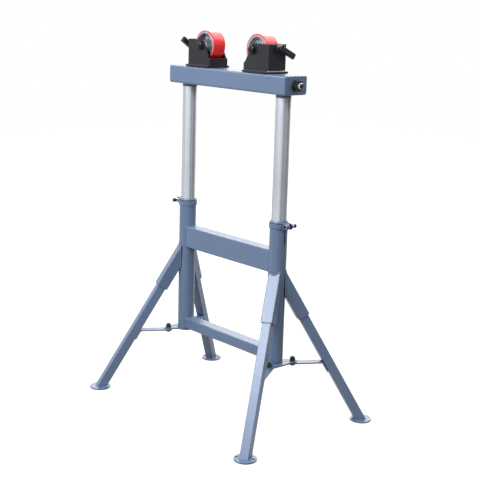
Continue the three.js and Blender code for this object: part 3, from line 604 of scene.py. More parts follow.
def linear(screen_colour):
    """Colour for a shader, from one given as it looks on a screen."""
    channels = [c / 12.92 if c <= 0.04045 else ((c + 0.055) / 1.055) ** 2.4 for c in screen_colour]
    return (*channels, 1.0)


def plug(tree, socket, value):
    """Sets a socket to a constant, or joins it to another socket."""
    if isinstance(value, bpy.types.NodeSocket):
        tree.links.new(value, socket)
    else:
        socket.default_value = value


def add_node(tree, kind, inputs=None, **properties):
    """Node with its properties set and its inputs plugged."""
    node = tree.nodes.new(kind)
    for key, value in properties.items():
        setattr(node, key, value)
    for key, value in (inputs or {}).items():
        plug(tree, node.inputs[key], value)
    return node


def noise(tree, scale, detail=4.0, stretch=None):
    """Noise on Object coordinates; the scale is a number or a socket."""
    place = add_node(tree, "ShaderNodeTexCoord").outputs["Object"]
    if stretch is not None:
        place = add_node(tree, "ShaderNodeMapping", {"Vector": place, "Scale": stretch}).outputs["Vector"]
    texture = add_node(tree, "ShaderNodeTexNoise", {"Vector": place, "Scale": scale, "Detail": detail})
    return texture.outputs["Fac"]


def math_node(tree, operation, *values):
    return add_node(tree, "ShaderNodeMath", dict(enumerate(values)), operation=operation).outputs[0]


def remap(tree, value, low, high, to_low, to_high):
    ends = {"From Min": low, "From Max": high, "To Min": to_low, "To Max": to_high}
    return add_node(tree, "ShaderNodeMapRange", {"Value": value, **ends}).outputs["Result"]


def mix_colour(tree, factor, first, second, blend="MIX"):
    inputs = {"Factor": factor, 6: first, 7: second}
    return add_node(tree, "ShaderNodeMix", inputs, data_type="RGBA", blend_type=blend).outputs[2]


def new_group(name, inputs, outputs):
    """Node group; returns it with the sockets that its nodes may use."""
    group = bpy.data.node_groups.new(name, "ShaderNodeTree")
    for way, labels in (("INPUT", inputs), ("OUTPUT", outputs)):
        for label in labels:
            kind = "NodeSocketColor" if label == "Color" else "NodeSocketFloat"
            socket = group.interface.new_socket(label, in_out=way, socket_type=kind)
            if way == "INPUT":
                socket.default_value = inputs[label]
    return group, group.nodes.new("NodeGroupInput").outputs, group.nodes.new("NodeGroupOutput").inputs


def make_mottle_group():
    """Slow changes of tone over a surface."""
    defaults = {"Color": (0.5, 0.5, 0.5, 1), "Amount": 0.05, "Scale": 8.0}
    group, given, out = new_group("Mottle", defaults, ("Color", "Value"))
    value = noise(group, given["Scale"], 5.0)
    low = math_node(group, "SUBTRACT", 1.0, given["Amount"])
    high = math_node(group, "ADD", 1.0, given["Amount"])
    tone = remap(group, value, *NOISE_RANGE, low, high)
    plug(group, out["Color"], mix_colour(group, 1.0, given["Color"], tone, "MULTIPLY"))
    plug(group, out["Value"], value)


def make_edge_group():
    """Mask of rounded edges and corners, broken up by noise."""
    group, given, out = new_group("Edge Wear", {"Radius": 0.0015, "Scale": 180.0}, ("Mask",))
    rounded = add_node(group, "ShaderNodeBevel", {"Radius": given["Radius"]}, samples=4)
    geometry = add_node(group, "ShaderNodeNewGeometry")
    normals = {0: rounded.outputs["Normal"], 1: geometry.outputs["Normal"]}
    dot = add_node(group, "ShaderNodeVectorMath", normals, operation="DOT_PRODUCT")
    edge = remap(group, dot.outputs["Value"], 0.995, 0.86, 0.0, 1.0)
    broken = remap(group, noise(group, given["Scale"], 3.0), 0.42, 0.62, 0.15, 1.0)
    plug(group, out["Mask"], math_node(group, "MULTIPLY", edge, broken))


def make_brush_group():
    """Fine lines drawn along Z, as on a plated tube, with some cloudiness."""
    group, given, out = new_group("Drawn Lines", {"Scale": 260.0}, ("Value",))
    lines = noise(group, given["Scale"], 3.0, (1.0, 1.0, 0.012))
    plug(group, out["Value"], math_node(group, "MULTIPLY_ADD", noise(group, 14.0), 0.35, lines))


class Finish:
    """One material with its Principled shader, while it is being built."""

    def __init__(self, name, metallic=0.0, ior=1.5):
        material = bpy.data.materials.new(f"{name}_finish")
        material.use_nodes = True
        self.tree = material.node_tree
        self.shader = self.tree.nodes["Principled BSDF"]
        self.feed("Metallic", metallic)
        self.feed("IOR", ior)

    def feed(self, socket, value):
        plug(self.tree, self.shader.inputs[socket], value)

    def group(self, name, **inputs):
        return add_node(self.tree, "ShaderNodeGroup", inputs, node_tree=bpy.data.node_groups[name]).outputs

    def tone(self, screen_colour, amount, scale):
        """Mottled colour, and the noise that it follows."""
        mottle = self.group("Mottle", Color=linear(screen_colour), Amount=amount, Scale=scale)
        return mottle["Color"], mottle["Value"]

    def worn(self, base, worn_colour, strength, radius=0.0015):
        """Base colour with its edges shifted toward another colour."""
        mask = self.group("Edge Wear", Radius=radius)["Mask"]
        factor = math_node(self.tree, "MULTIPLY", mask, strength)
        return mix_colour(self.tree, factor, base, linear(worn_colour))

    def shaded_in_joints(self, base, reach, darkest):
        """Painted shade: base colour darkened by ambient occlusion along the joints where faces meet."""
        open_sky = add_node(self.tree, "ShaderNodeAmbientOcclusion", {"Distance": reach}, samples=6)
        unshaded = remap(self.tree, open_sky.outputs["AO"], 0.35, 0.85, darkest, 1.0)
        return mix_colour(self.tree, unshaded, (0.004, 0.004, 0.005, 1), base)

    def bump(self, height, strength, distance):
        inputs = {"Strength": strength, "Distance": distance, "Height": height}
        self.feed("Normal", add_node(self.tree, "ShaderNodeBump", inputs).outputs["Normal"])

    def rough(self, value, low, high):
        self.feed("Roughness", remap(self.tree, value, *NOISE_RANGE, low, high))


def paint_finish(name, screen_colour, edge_colour, low, high, ior=1.5):
    """Sprayed enamel: soft orange peel, slow tone changes, paler edges and painted shade in the joints."""
    finish = Finish(name, ior=ior)
    base, value = finish.tone(screen_colour, 0.045, 7.0)
    # painted shade: ambient occlusion darkens the colour in the joints and creases
    finish.feed("Base Color", finish.shaded_in_joints(finish.worn(base, edge_colour, 0.35), 0.012, 0.72))
    finish.rough(value, low, high)
    finish.bump(noise(finish.tree, 520.0, 2.0), 0.05, 0.0006)


def metal_finish(name, screen_colour, low, high, grain, amount=0.06):
    """Plated or bare metal with a fine grain."""
    finish = Finish(name, metallic=1.0)
    base, value = finish.tone(screen_colour, amount, 30.0)
    finish.feed("Base Color", base)
    finish.rough(value, low, high)
    finish.bump(noise(finish.tree, grain, 3.0), 0.06, 0.0004)


def chrome_finish(screen_colour, paint_colour, band_height):
    """Plated tube with drawn lines, enamel on the band below the beam, and a heat tint under the band."""
    finish = Finish("chrome")
    tree = finish.tree
    lines = finish.group("Drawn Lines", Scale=240.0)["Value"]
    base, _ = finish.tone(screen_colour, 0.05, 9.0)
    place = add_node(tree, "ShaderNodeTexCoord").outputs["Object"]
    place = add_node(tree, "ShaderNodeSeparateXYZ", {0: place}).outputs
    band = BEAM_BOTTOM - band_height
    painted = math_node(tree, "GREATER_THAN", place["Z"], band)
    across = math_node(tree, "MULTIPLY", math_node(tree, "ABSOLUTE", place["Y"]), 38.0)
    below = math_node(tree, "MULTIPLY", math_node(tree, "SUBTRACT", band, place["Z"]), 17.0)
    heat = remap(tree, math_node(tree, "ADD", across, below), 0.2, 1.0, 0.72, 0.0)
    base = mix_colour(tree, heat, base, linear((0.40, 0.35, 0.30)))
    finish.feed("Base Color", mix_colour(tree, painted, base, linear(paint_colour)))
    plated = remap(tree, lines, 0.45, 0.85, 0.2, 0.32)
    finish.feed("Roughness", math_node(tree, "MAXIMUM", plated, math_node(tree, "MULTIPLY", painted, 0.45)))
    finish.feed("Metallic", math_node(tree, "SUBTRACT", 1.0, painted))
    finish.bump(lines, 0.04, 0.0003)


def tyre_finish(screen_colour):
    """Smooth cast polyurethane with a soft pink sheen."""
    finish = Finish("red_tyre")
    base, value = finish.tone(screen_colour, 0.05, 24.0)
    finish.feed("Base Color", finish.worn(base, (0.93, 0.35, 0.34), 0.25, 0.0012))
    finish.rough(value, 0.36, 0.44)
    finish.feed("Specular Tint", (1.0, 0.82, 1.0, 1.0))
    finish.feed("Coat Weight", 0.6)
    finish.feed("Coat Roughness", 0.3)
    finish.bump(noise(finish.tree, 340.0, 3.0), 0.04, 0.0005)


def plastic_finish(screen_colour):
    """Moulded plastic with a fine spark-eroded grain."""
    finish = Finish("lever_plastic")
    base, value = finish.tone(screen_colour, 0.08, 40.0)
    finish.feed("Base Color", finish.worn(base, (0.25, 0.25, 0.26), 0.35, 0.001))
    finish.rough(value, 0.3, 0.4)
    finish.bump(noise(finish.tree, 1400.0, 2.0), 0.12, 0.0003)


class STAND_OT_finishes(bpy.types.Operator):
    """Make the materials of the stand"""

    bl_idname = "stand.finishes"
    bl_label = "Finishes"

    def execute(self, context):
        colours = context.scene.stand_finishes
        make_mottle_group()
        make_edge_group()
        make_brush_group()
        pale_blue = (0.66, 0.72, 0.80)
        paint_finish("frame_paint", colours.frame_paint, pale_blue, 0.25, 0.33)
        # painted light: frame paint made paler for the legs, feet and straps, for the brighter light near the
        # floor
        paint_finish("leg_paint", colours.leg_paint, pale_blue, 0.25, 0.33)
        paint_finish("black_paint", colours.black_paint, (0.42, 0.42, 0.44), 0.38, 0.5, 1.43)
        # blackened bolts and nuts, and also painted shade in slits, the collar groove and the screw's end
        # face
        paint_finish("black_steel", colours.black_steel, (0.42, 0.43, 0.46), 0.3, 0.42)
        metal_finish("zinc", colours.zinc, 0.24, 0.4, 500.0)
        metal_finish("cast_core", colours.cast_metal, 0.36, 0.5, 420.0, 0.1)
        metal_finish("bronze", colours.bronze, 0.3, 0.45, 300.0)
        chrome_finish(colours.chrome, colours.frame_paint, context.scene.stand_sizes.paint_band)
        tyre_finish(colours.tyre)
        plastic_finish(colours.plastic)
        return {"FINISHED"}


# Posts and clamps


class STAND_OT_posts(bpy.types.Operator):
    """Model the sleeves and the plated posts that telescope in them"""

    bl_idname = "stand.posts"
    bl_label = "Sleeves and posts"

    def execute(self, context):
        sizes = context.scene.stand_sizes
        radius = sizes.sleeve_radius
        half = sizes.slit_width / 2
        sleeve = tube("sleeve", radius, radius - sizes.sleeve_wall, SLEEVE_BOTTOM, SLEEVE_TOP)
        cut(sleeve, bar("slit", (0, -half, SLEEVE_TOP - sizes.slit_length), (2 * radius, half, BEAM_TOP)))
        # painted shade: the walls of the slit are blackened
        paint_slit_shade(dress(sleeve, "frame_paint"), sizes.slit_width)
        install_pair(sleeve, "sleeve", AT_POST, "base_frame", "frame_paint")
        post = tube("post", POST_RADIUS, POST_RADIUS - sizes.post_wall, POST_LOW.z, BEAM_BOTTOM - FIT_GAP)
        install_pair(dress(post, "chrome"), "post", AT_POST, "head", "chrome")
        return {"FINISHED"}


def clamp_collar(sizes, middle):
    """Ring about a post with a rounded lip above a groove, two ears and a split between them."""
    inner = sizes.sleeve_radius + FIT_GAP
    outer = sizes.sleeve_radius + sizes.collar_thickness
    rounding = 0.0022
    ledge = SLEEVE_TOP - sizes.collar_lip
    groove = inner + 0.0006
    lip = inner + 0.0016
    profile = [(inner, COLLAR_BOTTOM)]
    profile += arc(outer - rounding, COLLAR_BOTTOM + rounding, rounding, -QUARTER, 0)
    profile += [(outer, ledge - 0.0008), (outer - 0.0006, ledge)]
    profile += [(groove, ledge + 0.0002), (groove, ledge + 0.0022), (lip, ledge + 0.003)]
    profile += [(lip, ledge + 0.0045), (inner + 0.0004, SLEEVE_TOP), (inner, SLEEVE_TOP)]
    ring = turned("clamp_collar", profile, closed=True, steps=ROUND_STEPS)
    half = sizes.split_width / 2
    face = half + sizes.ear_thickness
    ear_radius = (SLEEVE_TOP - COLLAR_BOTTOM) / 2 - 0.0016
    outline = on_xz(slot_outline(sizes.sleeve_radius, sizes.clamp_reach, ear_radius), -face, middle)
    joined(ring, soften(extruded("ears", outline, (0, 2 * face, 0)), 0.0012, 3))
    below = COLLAR_BOTTOM - PAST
    above = SLEEVE_TOP + PAST
    cut(ring, rod("bore", inner, (0, 0, below), (0, 0, above), ROUND_STEPS),
        bar("split", (0, -half, below), (sizes.clamp_reach + 2 * ear_radius, half, above)))
    drilled(ring, 0.0063, (sizes.clamp_reach, -2 * face, middle), (sizes.clamp_reach, 2 * face, middle))
    # painted shade: the faces of the split between the ears are blackened
    paint_slit_shade(dress(ring, "frame_paint"), sizes.split_width)
    wall = sizes.sleeve_radius + 0.001
    # painted shade: the wall of the groove under the lip is blackened
    paint_faces(ring, "black_steel",
                lambda c: ledge + 0.0003 < c.z < ledge + 0.0021 and math.hypot(c.x, c.y) < wall)
    return ring


def clamp_screw(sizes):
    """Along Y: socket head on the front ear, bright thread behind the back one, black cap."""
    face = sizes.split_width / 2 + sizes.ear_thickness
    head_high = -face - SEAT_GAP
    head_radius = 0.0085
    head_low = head_high - 0.0085
    rounding = 0.0012
    socket_width = 0.01
    cap_start = face + 0.010
    cap_end = face + 0.020
    profile = [(0, head_low)] + arc(head_radius - rounding, head_low + rounding, rounding, -QUARTER, 0)
    head = turned("clamp_screw", profile + [(head_radius, head_high), (0, head_high)])
    cut(head, hexagon("socket", socket_width, head_low - 0.002, head_low + 0.005, False, False))
    shank = threaded("shank", 0.006, -face - 0.002, cap_end - 0.002, 0.00175, face - 0.002, cap_start)
    profile = [(0, cap_start), (0.0064, cap_start)]
    profile += arc(0.0060, cap_start + 0.001, 0.001, -QUARTER, 0)
    profile += arc(0.0045, cap_end - 0.0025, 0.0025, 0, QUARTER)
    piece = join_pieces(head, shank, turned("cap", profile + [(0, cap_end)]))

    def on_head_ring(c):
        in_socket = c.z > head_low + FIT_GAP and math.hypot(c.x, c.y) < 0.6 * socket_width
        return c.z < -face and not in_socket

    dress(piece, "black_steel")
    paint_faces(piece, "zinc", lambda c: face < c.z < cap_start)
    paint_faces(piece, "frame_paint", on_head_ring)
    return moved(piece, LAID_ALONG_Y)


class STAND_OT_clamps(bpy.types.Operator):
    """Model the split clamp collars and their screws"""

    bl_idname = "stand.clamps"
    bl_label = "Clamps"

    def execute(self, context):
        sizes = context.scene.stand_sizes
        middle = (COLLAR_BOTTOM + SLEEVE_TOP) / 2
        at_ear = Matrix.Translation((sizes.clamp_reach, 0, middle))
        install_pair(clamp_collar(sizes, middle), "clamp_collar", AT_POST, "base_frame", "frame_paint")
        screw = moved(clamp_screw(sizes), at_ear)
        install_pair(screw, "clamp_screw", AT_POST, "clamp_screw_{side}", "black_steel")
        return {"FINISHED"}


# Rails


class STAND_OT_rails(bpy.types.Operator):
    """Model the two cross rails and the welds that join them to the sleeves"""

    bl_idname = "stand.rails"
    bl_label = "Cross rails"

    def execute(self, context):
        sizes = context.scene.stand_sizes
        radius = sizes.sleeve_radius
        corner = sizes.rail_corner
        for stem in ("upper_rail", "lower_rail"):
            low, high = extent(stem, "z")
            middle = (high + low) / 2
            section = (sizes.rail_depth, high - low)
            ends = (-POST_X, POST_X)
            rail = box_tube(f"{stem}_piece", section, corner, sizes.rail_wall, corner / 3, ends, middle)
            for x in ends:
                bottom = (x, 0, low - PAST)
                cut(rail, rod("saddle", radius - FIT_GAP, bottom, (x, 0, high + PAST), ROUND_STEPS))
            install(dress(rail, "frame_paint"), "base_frame", "frame_paint", stem)

            def on_sleeve(spot):
                return Vector((POST_X - math.sqrt(radius ** 2 - spot.x ** 2), spot.x, middle + spot.y))

            bead = dress(seam(stem, section, corner, sizes.weld_radius, on_sleeve), "frame_paint")
            install_pair(bead, f"{stem}_weld", AT_ORIGIN, "base_frame", "frame_paint", node=False)
        return {"FINISHED"}


# Legs


def leg_lean(sizes):
    """Directions of a leg at azimuth zero: down along it, and square to its upper face."""
    lean = math.atan2(FOOT_REACH, sizes.leg_apex)
    down = Vector((math.sin(lean), 0, -math.cos(lean)))
    return down, Vector((math.cos(lean), 0, math.sin(lean)))


def leg_axes(sizes, side):
    """Frame of a leg at azimuth zero: X down along the leg, Z square to its upper face."""
    down, upper = leg_lean(sizes)
    lean = Matrix((down, Vector((0, 1, 0)), upper)).transposed().to_4x4()
    twist = Matrix.Rotation(-side * sizes.leg_twist, 4, "X")
    return Matrix.Translation((0, 0, sizes.leg_apex)) @ lean @ twist


def leg_socket(sizes, axes):
    """Square tube let into its sleeve at the upper end."""
    size = sizes.socket_size
    wall = sizes.socket_wall
    ends = (-size, sizes.socket_end)
    piece = moved(box_tube("leg_socket", (size, size), sizes.socket_corner, wall, wall / 4, ends), axes)
    face = sizes.sleeve_radius - sizes.socket_notch
    behind = bar("behind", (-3 * WIDE, -WIDE, 0), (face, WIDE, BEAM_TOP))
    cut(piece, behind, rod("saddle", sizes.sleeve_radius - FIT_GAP, (0, 0, 0), (0, 0, BEAM_TOP), ROUND_STEPS))
    return soften(piece, 0.0006, 2, 50)


def leg(sizes, axes):
    """Square tube from inside its socket down to its foot."""
    size = sizes.leg_size
    wall = sizes.leg_wall
    ends = (sizes.socket_end - sizes.leg_insertion, math.hypot(FOOT_REACH, sizes.leg_apex) + size)
    piece = moved(box_tube("leg", (size, size), sizes.leg_corner, wall, wall / 4, ends), axes)
    return cut(piece, bar("floor", (0, -WIDE, -2 * WIDE), (1, WIDE, sizes.foot_thickness + FIT_GAP)))


def foot(sizes):
    """Round plate with two holes for floor bolts."""
    edge = 0.0012
    radius = sizes.foot_radius
    thickness = sizes.foot_thickness
    profile = [(0, 0), (radius - edge / 2, 0), (radius, edge / 2)]
    profile += arc(radius - edge, thickness - edge, edge, 0, QUARTER)
    piece = turned("foot", profile + [(0, thickness)], steps=ROUND_STEPS)
    for y in (-sizes.foot_hole_offset, sizes.foot_hole_offset):
        drilled(piece, sizes.foot_hole_radius, (0, y, -PAST), (0, y, thickness + PAST))
    return moved(piece, Matrix.Translation((FOOT_REACH, 0, 0)))


def socket_bead(sizes, axes):
    """Seam where a socket meets its sleeve."""
    down = (axes.to_3x3() @ Vector((1, 0, 0))).normalized()
    radius = 1.3 * sizes.weld_radius
    face = sizes.sleeve_radius - sizes.socket_notch - 0.3 * radius
    round_sleeve = (sizes.sleeve_radius + 0.4 * radius) ** 2

    def on_sleeve(spot):
        start = axes @ Vector((0, spot.x, spot.y))
        reach = max(face, math.sqrt(round_sleeve - start.y ** 2))
        return start + down * ((reach - start.x) / down.x)

    size = sizes.socket_size
    return seam("socket_bead", (size, size), sizes.socket_corner, radius, on_sleeve)


def foot_bead(sizes, axes):
    """Seam where a leg meets its foot."""
    down = (axes.to_3x3() @ Vector((1, 0, 0))).normalized()

    def on_foot(spot):
        start = axes @ Vector((0, spot.x, spot.y))
        return start + down * ((sizes.foot_thickness - start.z) / down.z)

    size = sizes.leg_size
    return seam("foot_bead", (size, size), sizes.leg_corner, 0.8 * sizes.weld_radius, on_foot)


class STAND_OT_legs(bpy.types.Operator):
    """Model the leg sockets, the legs, the feet and their welds"""

    bl_idname = "stand.legs"
    bl_label = "Legs and feet"

    def execute(self, context):
        sizes = context.scene.stand_sizes
        for side in (-1, 1):
            axes = leg_axes(sizes, side)
            # legs and foot welds take the paler paint, which is painted light for the light near the floor
            for stem, piece, finish, node in (
                ("leg_socket", leg_socket(sizes, axes), "frame_paint", True),
                ("leg", leg(sizes, axes), "leg_paint", True),
                ("socket_weld", socket_bead(sizes, axes), "frame_paint", False),
                ("foot_weld", foot_bead(sizes, axes), "leg_paint", False),
            ):
                install_at_legs(dress(piece, finish), stem, "frame_paint", node, (side,))
        # the feet take the paler paint, which is painted light
        install_at_legs(dress(foot(sizes), "leg_paint"), "foot", "frame_paint")
        return {"FINISHED"}


# Stays


STAY_HOLE_RADIUS = 0.0056


def stay_plate(sizes, low, high):
    """Round plate with an arm toward each leg and a web between the arms."""
    height = (0, 0, high - low)
    reach = sizes.stay_bolt_reach
    half = sizes.stay_width / 2
    edge = reach * math.cos(LEG_AZIMUTH) + half
    span = reach * math.sin(LEG_AZIMUTH)
    web = [(0, -0.2 * span), (edge, -span), (edge, span), (0, 0.2 * span)]
    piece = rod("stay_plate", sizes.sleeve_radius, (0, 0, low), (0, 0, high), ROUND_STEPS)
    joined(piece, extruded("web", on_xy(web, low), height))
    holes = []
    for azimuth in (LEG_AZIMUTH, -LEG_AZIMUTH):
        turn = Matrix.Rotation(azimuth, 4, "Z")
        joined(piece, moved(extruded("arm", on_xy(slot_outline(0, reach, half), low), height), turn))
        hole = rod("hole", STAY_HOLE_RADIUS, (reach, 0, low - PAST), (reach, 0, high + PAST))
        holes.append(moved(hole, turn))
    return soften(cut(piece, *holes), 0.0007)


def stay_strap(sizes, high):
    """Flat bar: level under the plate, bent down along the underside of the leg."""
    down, upper = leg_lean(sizes)
    thickness = sizes.stay_thickness
    reach = sizes.stay_bolt_reach
    level = high - thickness / 2
    on_leg = Vector((0, 0, sizes.leg_apex)) - upper * (sizes.leg_size / 2 + SEAT_GAP + thickness / 2)
    corner = on_leg + down * ((level - on_leg.z) / down.z)
    start = Vector((reach - 0.018, 0, level))
    centre_line = fillet(start, corner, corner + down * sizes.strap_tab, sizes.strap_bend)
    piece = ribbon("stay_strap", centre_line, thickness, sizes.stay_width)
    plan = on_xy(slot_outline(reach, 1.0, sizes.stay_width / 2), 0.0)
    combine(piece, extruded("rounded_end", plan, (0, 0, BEAM_TOP)), "INTERSECT")
    drilled(piece, STAY_HOLE_RADIUS, (reach, 0, level - PAST), (reach, 0, level + PAST))
    return soften(piece, 0.0007)


def stay_bolt(sizes, nut_low, head_high):
    """Hexagon head below the strap, washer and tall nut on the plate."""
    across_flats = 0.017
    washer_low = nut_low + FIT_GAP
    washer_high = nut_low + 0.0017
    head_low = head_high - 0.0064
    nut_high = nut_low + 0.0125
    tip = nut_high + 0.003
    head = hexagon("stay_bolt", across_flats, head_low, head_high - SEAT_GAP, True, False)
    washer = soften(rod("washer", 0.0098, (0, 0, washer_low), (0, 0, washer_high)), 0.0003)
    nut = hexagon("nut", across_flats, washer_high, nut_high, False, True)
    shank = threaded("shank", 0.005, head_low + 0.002, tip, 0.0015, nut_high - 0.001, tip)
    piece = join_pieces(head, washer, nut, shank)
    return moved(piece, Matrix.Translation((sizes.stay_bolt_reach, 0, 0)))


class STAND_OT_stays(bpy.types.Operator):
    """Model the stay plates, the bent stay straps and their bolts"""

    bl_idname = "stand.stays"
    bl_label = "Stays"

    def execute(self, context):
        sizes = context.scene.stand_sizes
        low, high = extent("stay_plate_right", "z")
        strap_high = extent("stay_strap_front_right", "z")[1]
        plate = dress(stay_plate(sizes, low, high), "frame_paint")
        install_pair(plate, "stay_plate", AT_POST, "base_frame", "frame_paint")
        # the straps take the paler paint, which is painted light
        install_at_legs(dress(stay_strap(sizes, strap_high), "leg_paint"), "stay_strap", "frame_paint")
        bolt = dress(stay_bolt(sizes, high, strap_high - sizes.stay_thickness), "black_steel")
        install_at_legs(bolt, "stay_bolt", "black_steel")
        return {"FINISHED"}


# Beam


def beam_section(sizes):
    return sizes.beam_depth, BEAM_TOP - BEAM_BOTTOM


def slotted_beam(sizes):
    """Box beam with two slots in its top for the necks of the block nuts."""
    end = BEAM_END - sizes.end_plate
    inner_corner = sizes.beam_corner - sizes.beam_wall
    piece = box_tube("beam_piece", beam_section(sizes), sizes.beam_corner, sizes.beam_wall, inner_corner,
                     (-end, end), SCREW_HEIGHT)
    neck = middle_of("block_nut_right", "x")
    slot_length = 0.1086
    slot_width = 0.0246
    for x in (-neck, neck):
        outline = rounded_rectangle(slot_length, slot_width, 0.004, x)
        cut(piece, extruded("slot", on_xy(outline, SCREW_HEIGHT), (0, 0, BEAM_TOP)))
    return piece


def end_plate(sizes):
    """Plate on the end of the beam, its outer rim rounded where the weld is ground smooth."""
    inner = BEAM_END - sizes.end_plate
    outline = on_yz(rounded_rectangle(*beam_section(sizes), sizes.beam_corner), inner, SCREW_HEIGHT)
    piece = extruded("beam_end", outline, (sizes.end_plate, 0, 0))
    make_active(piece)
    bpy.ops.object.mode_set(mode="EDIT")
    bpy.ops.mesh.select_mode(type="EDGE")
    bpy.ops.mesh.select_all(action="DESELECT")
    shape = bmesh.from_edit_mesh(piece.data)
    for line in shape.edges:
        if all(abs(vertex.co.x - BEAM_END) < MERGE_DISTANCE for vertex in line.verts):
            line.select_set(True)
    bmesh.update_edit_mesh(piece.data)
    bpy.ops.mesh.bevel(offset=sizes.end_rounding, segments=5, affect="EDGES")
    bpy.ops.object.mode_set(mode="OBJECT")
    start = (inner - PAST, 0, SCREW_HEIGHT)
    return drilled(piece, sizes.screw_radius + SCREW_GAP, start, (BEAM_END + PAST, 0, SCREW_HEIGHT))


def post_bead(sizes):
    """Seam round a post below the beam."""
    count = round(2 * math.pi * POST_RADIUS / BEAD_STEP)
    circle = arc(0, 0, POST_RADIUS, 0, 2 * math.pi, count)[:-1]
    return weld_bead("post_bead", on_xy(circle, BEAM_BOTTOM), sizes.weld_radius)


def adjusting_screw(radius):
    """Along Z: bright rod with a thread at its outer end, and a centre hole in an end face blackened as
    painted shade and dark reflection.
    """
    low, high = extent("adjusting_screw", "x")
    rim = 0.0025
    pitch = 0.0025
    profile = [(0, low), (radius - rim / 2, low), (radius, low + rim / 2)]
    profile += ridges(radius, pitch / 2, pitch, 0.2, BEAM_END - 0.004, high - rim)
    profile += [(radius, high - rim), (radius - 0.6 * rim, high - 0.25 * rim), (radius - rim, high)]
    profile += [(0.0026, high), (0.0021, high - 0.0006), (0.0018, high - 0.004), (0, high - 0.005)]
    piece = dress(turned("adjusting_screw_piece", profile), "zinc")
    # painted shade and dark reflection: the end face inside the chamfer is blackened
    paint_faces(piece, "black_steel",
                lambda c: c.z > high - rim / 4 and math.hypot(c.x, c.y) < radius - rim / 2)
    return piece


def adjusting_nut(radius):
    low, high = extent("adjusting_screw_nut", "x")
    nut = hexagon("adjusting_screw_nut_piece", 0.034, low, high)
    return dress(drilled(nut, radius + FIT_GAP, (0, 0, low - PAST), (0, 0, high + PAST)), "black_steel")


class STAND_OT_beam(bpy.types.Operator):
    """Model the beam, its end plates and the adjusting screw inside it"""

    bl_idname = "stand.beam"
    bl_label = "Beam and screw"

    def execute(self, context):
        sizes = context.scene.stand_sizes
        radius = sizes.screw_radius
        install(dress(slotted_beam(sizes), "frame_paint"), "head", "frame_paint", "beam")
        install_pair(dress(end_plate(sizes), "frame_paint"), "beam_end", AT_ORIGIN, "head", "frame_paint")
        bead = dress(post_bead(sizes), "frame_paint")
        install_pair(bead, "post_weld", AT_POST, "head", "frame_paint", node=False)
        thrust = tube("thrust_collar_piece", 0.02, radius + FIT_GAP, *extent("thrust_collar", "x"))
        in_beam = Matrix.Translation((0, 0, SCREW_HEIGHT)) @ LAID_ALONG_X
        for piece, slot, node in (
            (adjusting_screw(radius), "zinc", "adjusting_screw"),
            (adjusting_nut(radius), "black_steel", "adjusting_screw_nut"),
            (dress(thrust, "zinc"), "zinc", "thrust_collar"),
        ):
            install(moved(piece, in_beam), "adjusting_screw", slot, node)
        return {"FINISHED"}


# Roller blocks


def block_box(node):
    """Corners of a CAD node's box, from the beam's top below the axle."""
    low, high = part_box(node)
    shift = Vector((AXLE_X, 0, BEAM_TOP))
    return low - shift, high - shift


def block_plate(stem):
    return soften(bar(stem, *block_box(f"{stem}_right")), 0.0008, 3)


def bracket(sizes, side):
    """Bent from one sheet: a tall outer end and two wings sloped toward the roller."""
    low, high = block_box("block_bracket_right")
    lip_high = block_box("block_lip_right")[1].z
    thickness = 0.005
    bend = sizes.bracket_bend
    inner = bend - thickness
    edge_x = high.x - bend
    edge_y = high.y - bend
    plan = [(low.x, -high.y)] + arc(edge_x, -edge_y, bend, -QUARTER, 0)
    plan += arc(edge_x, edge_y, bend, 0, QUARTER)
    plan += [(low.x, high.y), (low.x, high.y - thickness)]
    plan += arc(edge_x, edge_y, inner, QUARTER, 0) + arc(edge_x, -edge_y, inner, 0, -QUARTER)
    plan += [(low.x, thickness - high.y)]
    piece = extruded(f"block_bracket_{side}_piece", on_xy(plan, low.z), (0, 0, high.z - low.z))
    slope_top = -0.0055
    slope = [(low.x - PAST, lip_high), (low.x, lip_high), (slope_top, high.z)]
    slope += [(slope_top, high.z + PAST), (low.x - PAST, high.z + PAST)]
    cut(piece, extruded("slope", on_xz(slope, -WIDE), (0, 2 * WIDE, 0)))
    axle = AXLE_HEIGHT - BEAM_TOP
    brake = middle_of(f"brake_pad_{side}", "z") - BEAM_TOP
    drilled(piece, 0.0083, (0, -WIDE, axle), (0, WIDE, axle))
    drilled(piece, 0.0063, (edge_x - PAST, 0, brake), (high.x + PAST, 0, brake))
    return soften(piece, 0.0006)


def block_nut(sizes):
    """Block on the adjusting screw with a neck that rises through the beam's slot."""
    low, high = block_box("block_nut_right")
    top = low.z + 0.04
    neck = rounded_rectangle(0.028, 0.024, 0.0045, (low.x + high.x) / 2)
    body = soften(bar("block_nut", low, (high.x, high.y, top)), 0.0015, 3)
    joined(body, extruded("neck", on_xy(neck, top - PAST), (0, 0, high.z - top + PAST)))
    axis = SCREW_HEIGHT - BEAM_TOP
    return drilled(body, sizes.screw_radius + SCREW_GAP, (low.x - PAST, 0, axis), (high.x + PAST, 0, axis))


def bracket_bead(sizes):
    """Seam round the foot of the bracket, bare metal at its outer end."""
    low, high = block_box("block_bracket_right")
    middle = (low.x + high.x) / 2
    bead = seam("block_bead", (high.x - low.x, 2 * high.y), sizes.bracket_bend, 1.2 * sizes.weld_radius,
                lambda spot: spot + Vector((middle, 0, low.z)))
    paint_faces(dress(bead, "black_paint"), "cast_core", lambda c: c.x > high.x - sizes.weld_radius)
    return bead


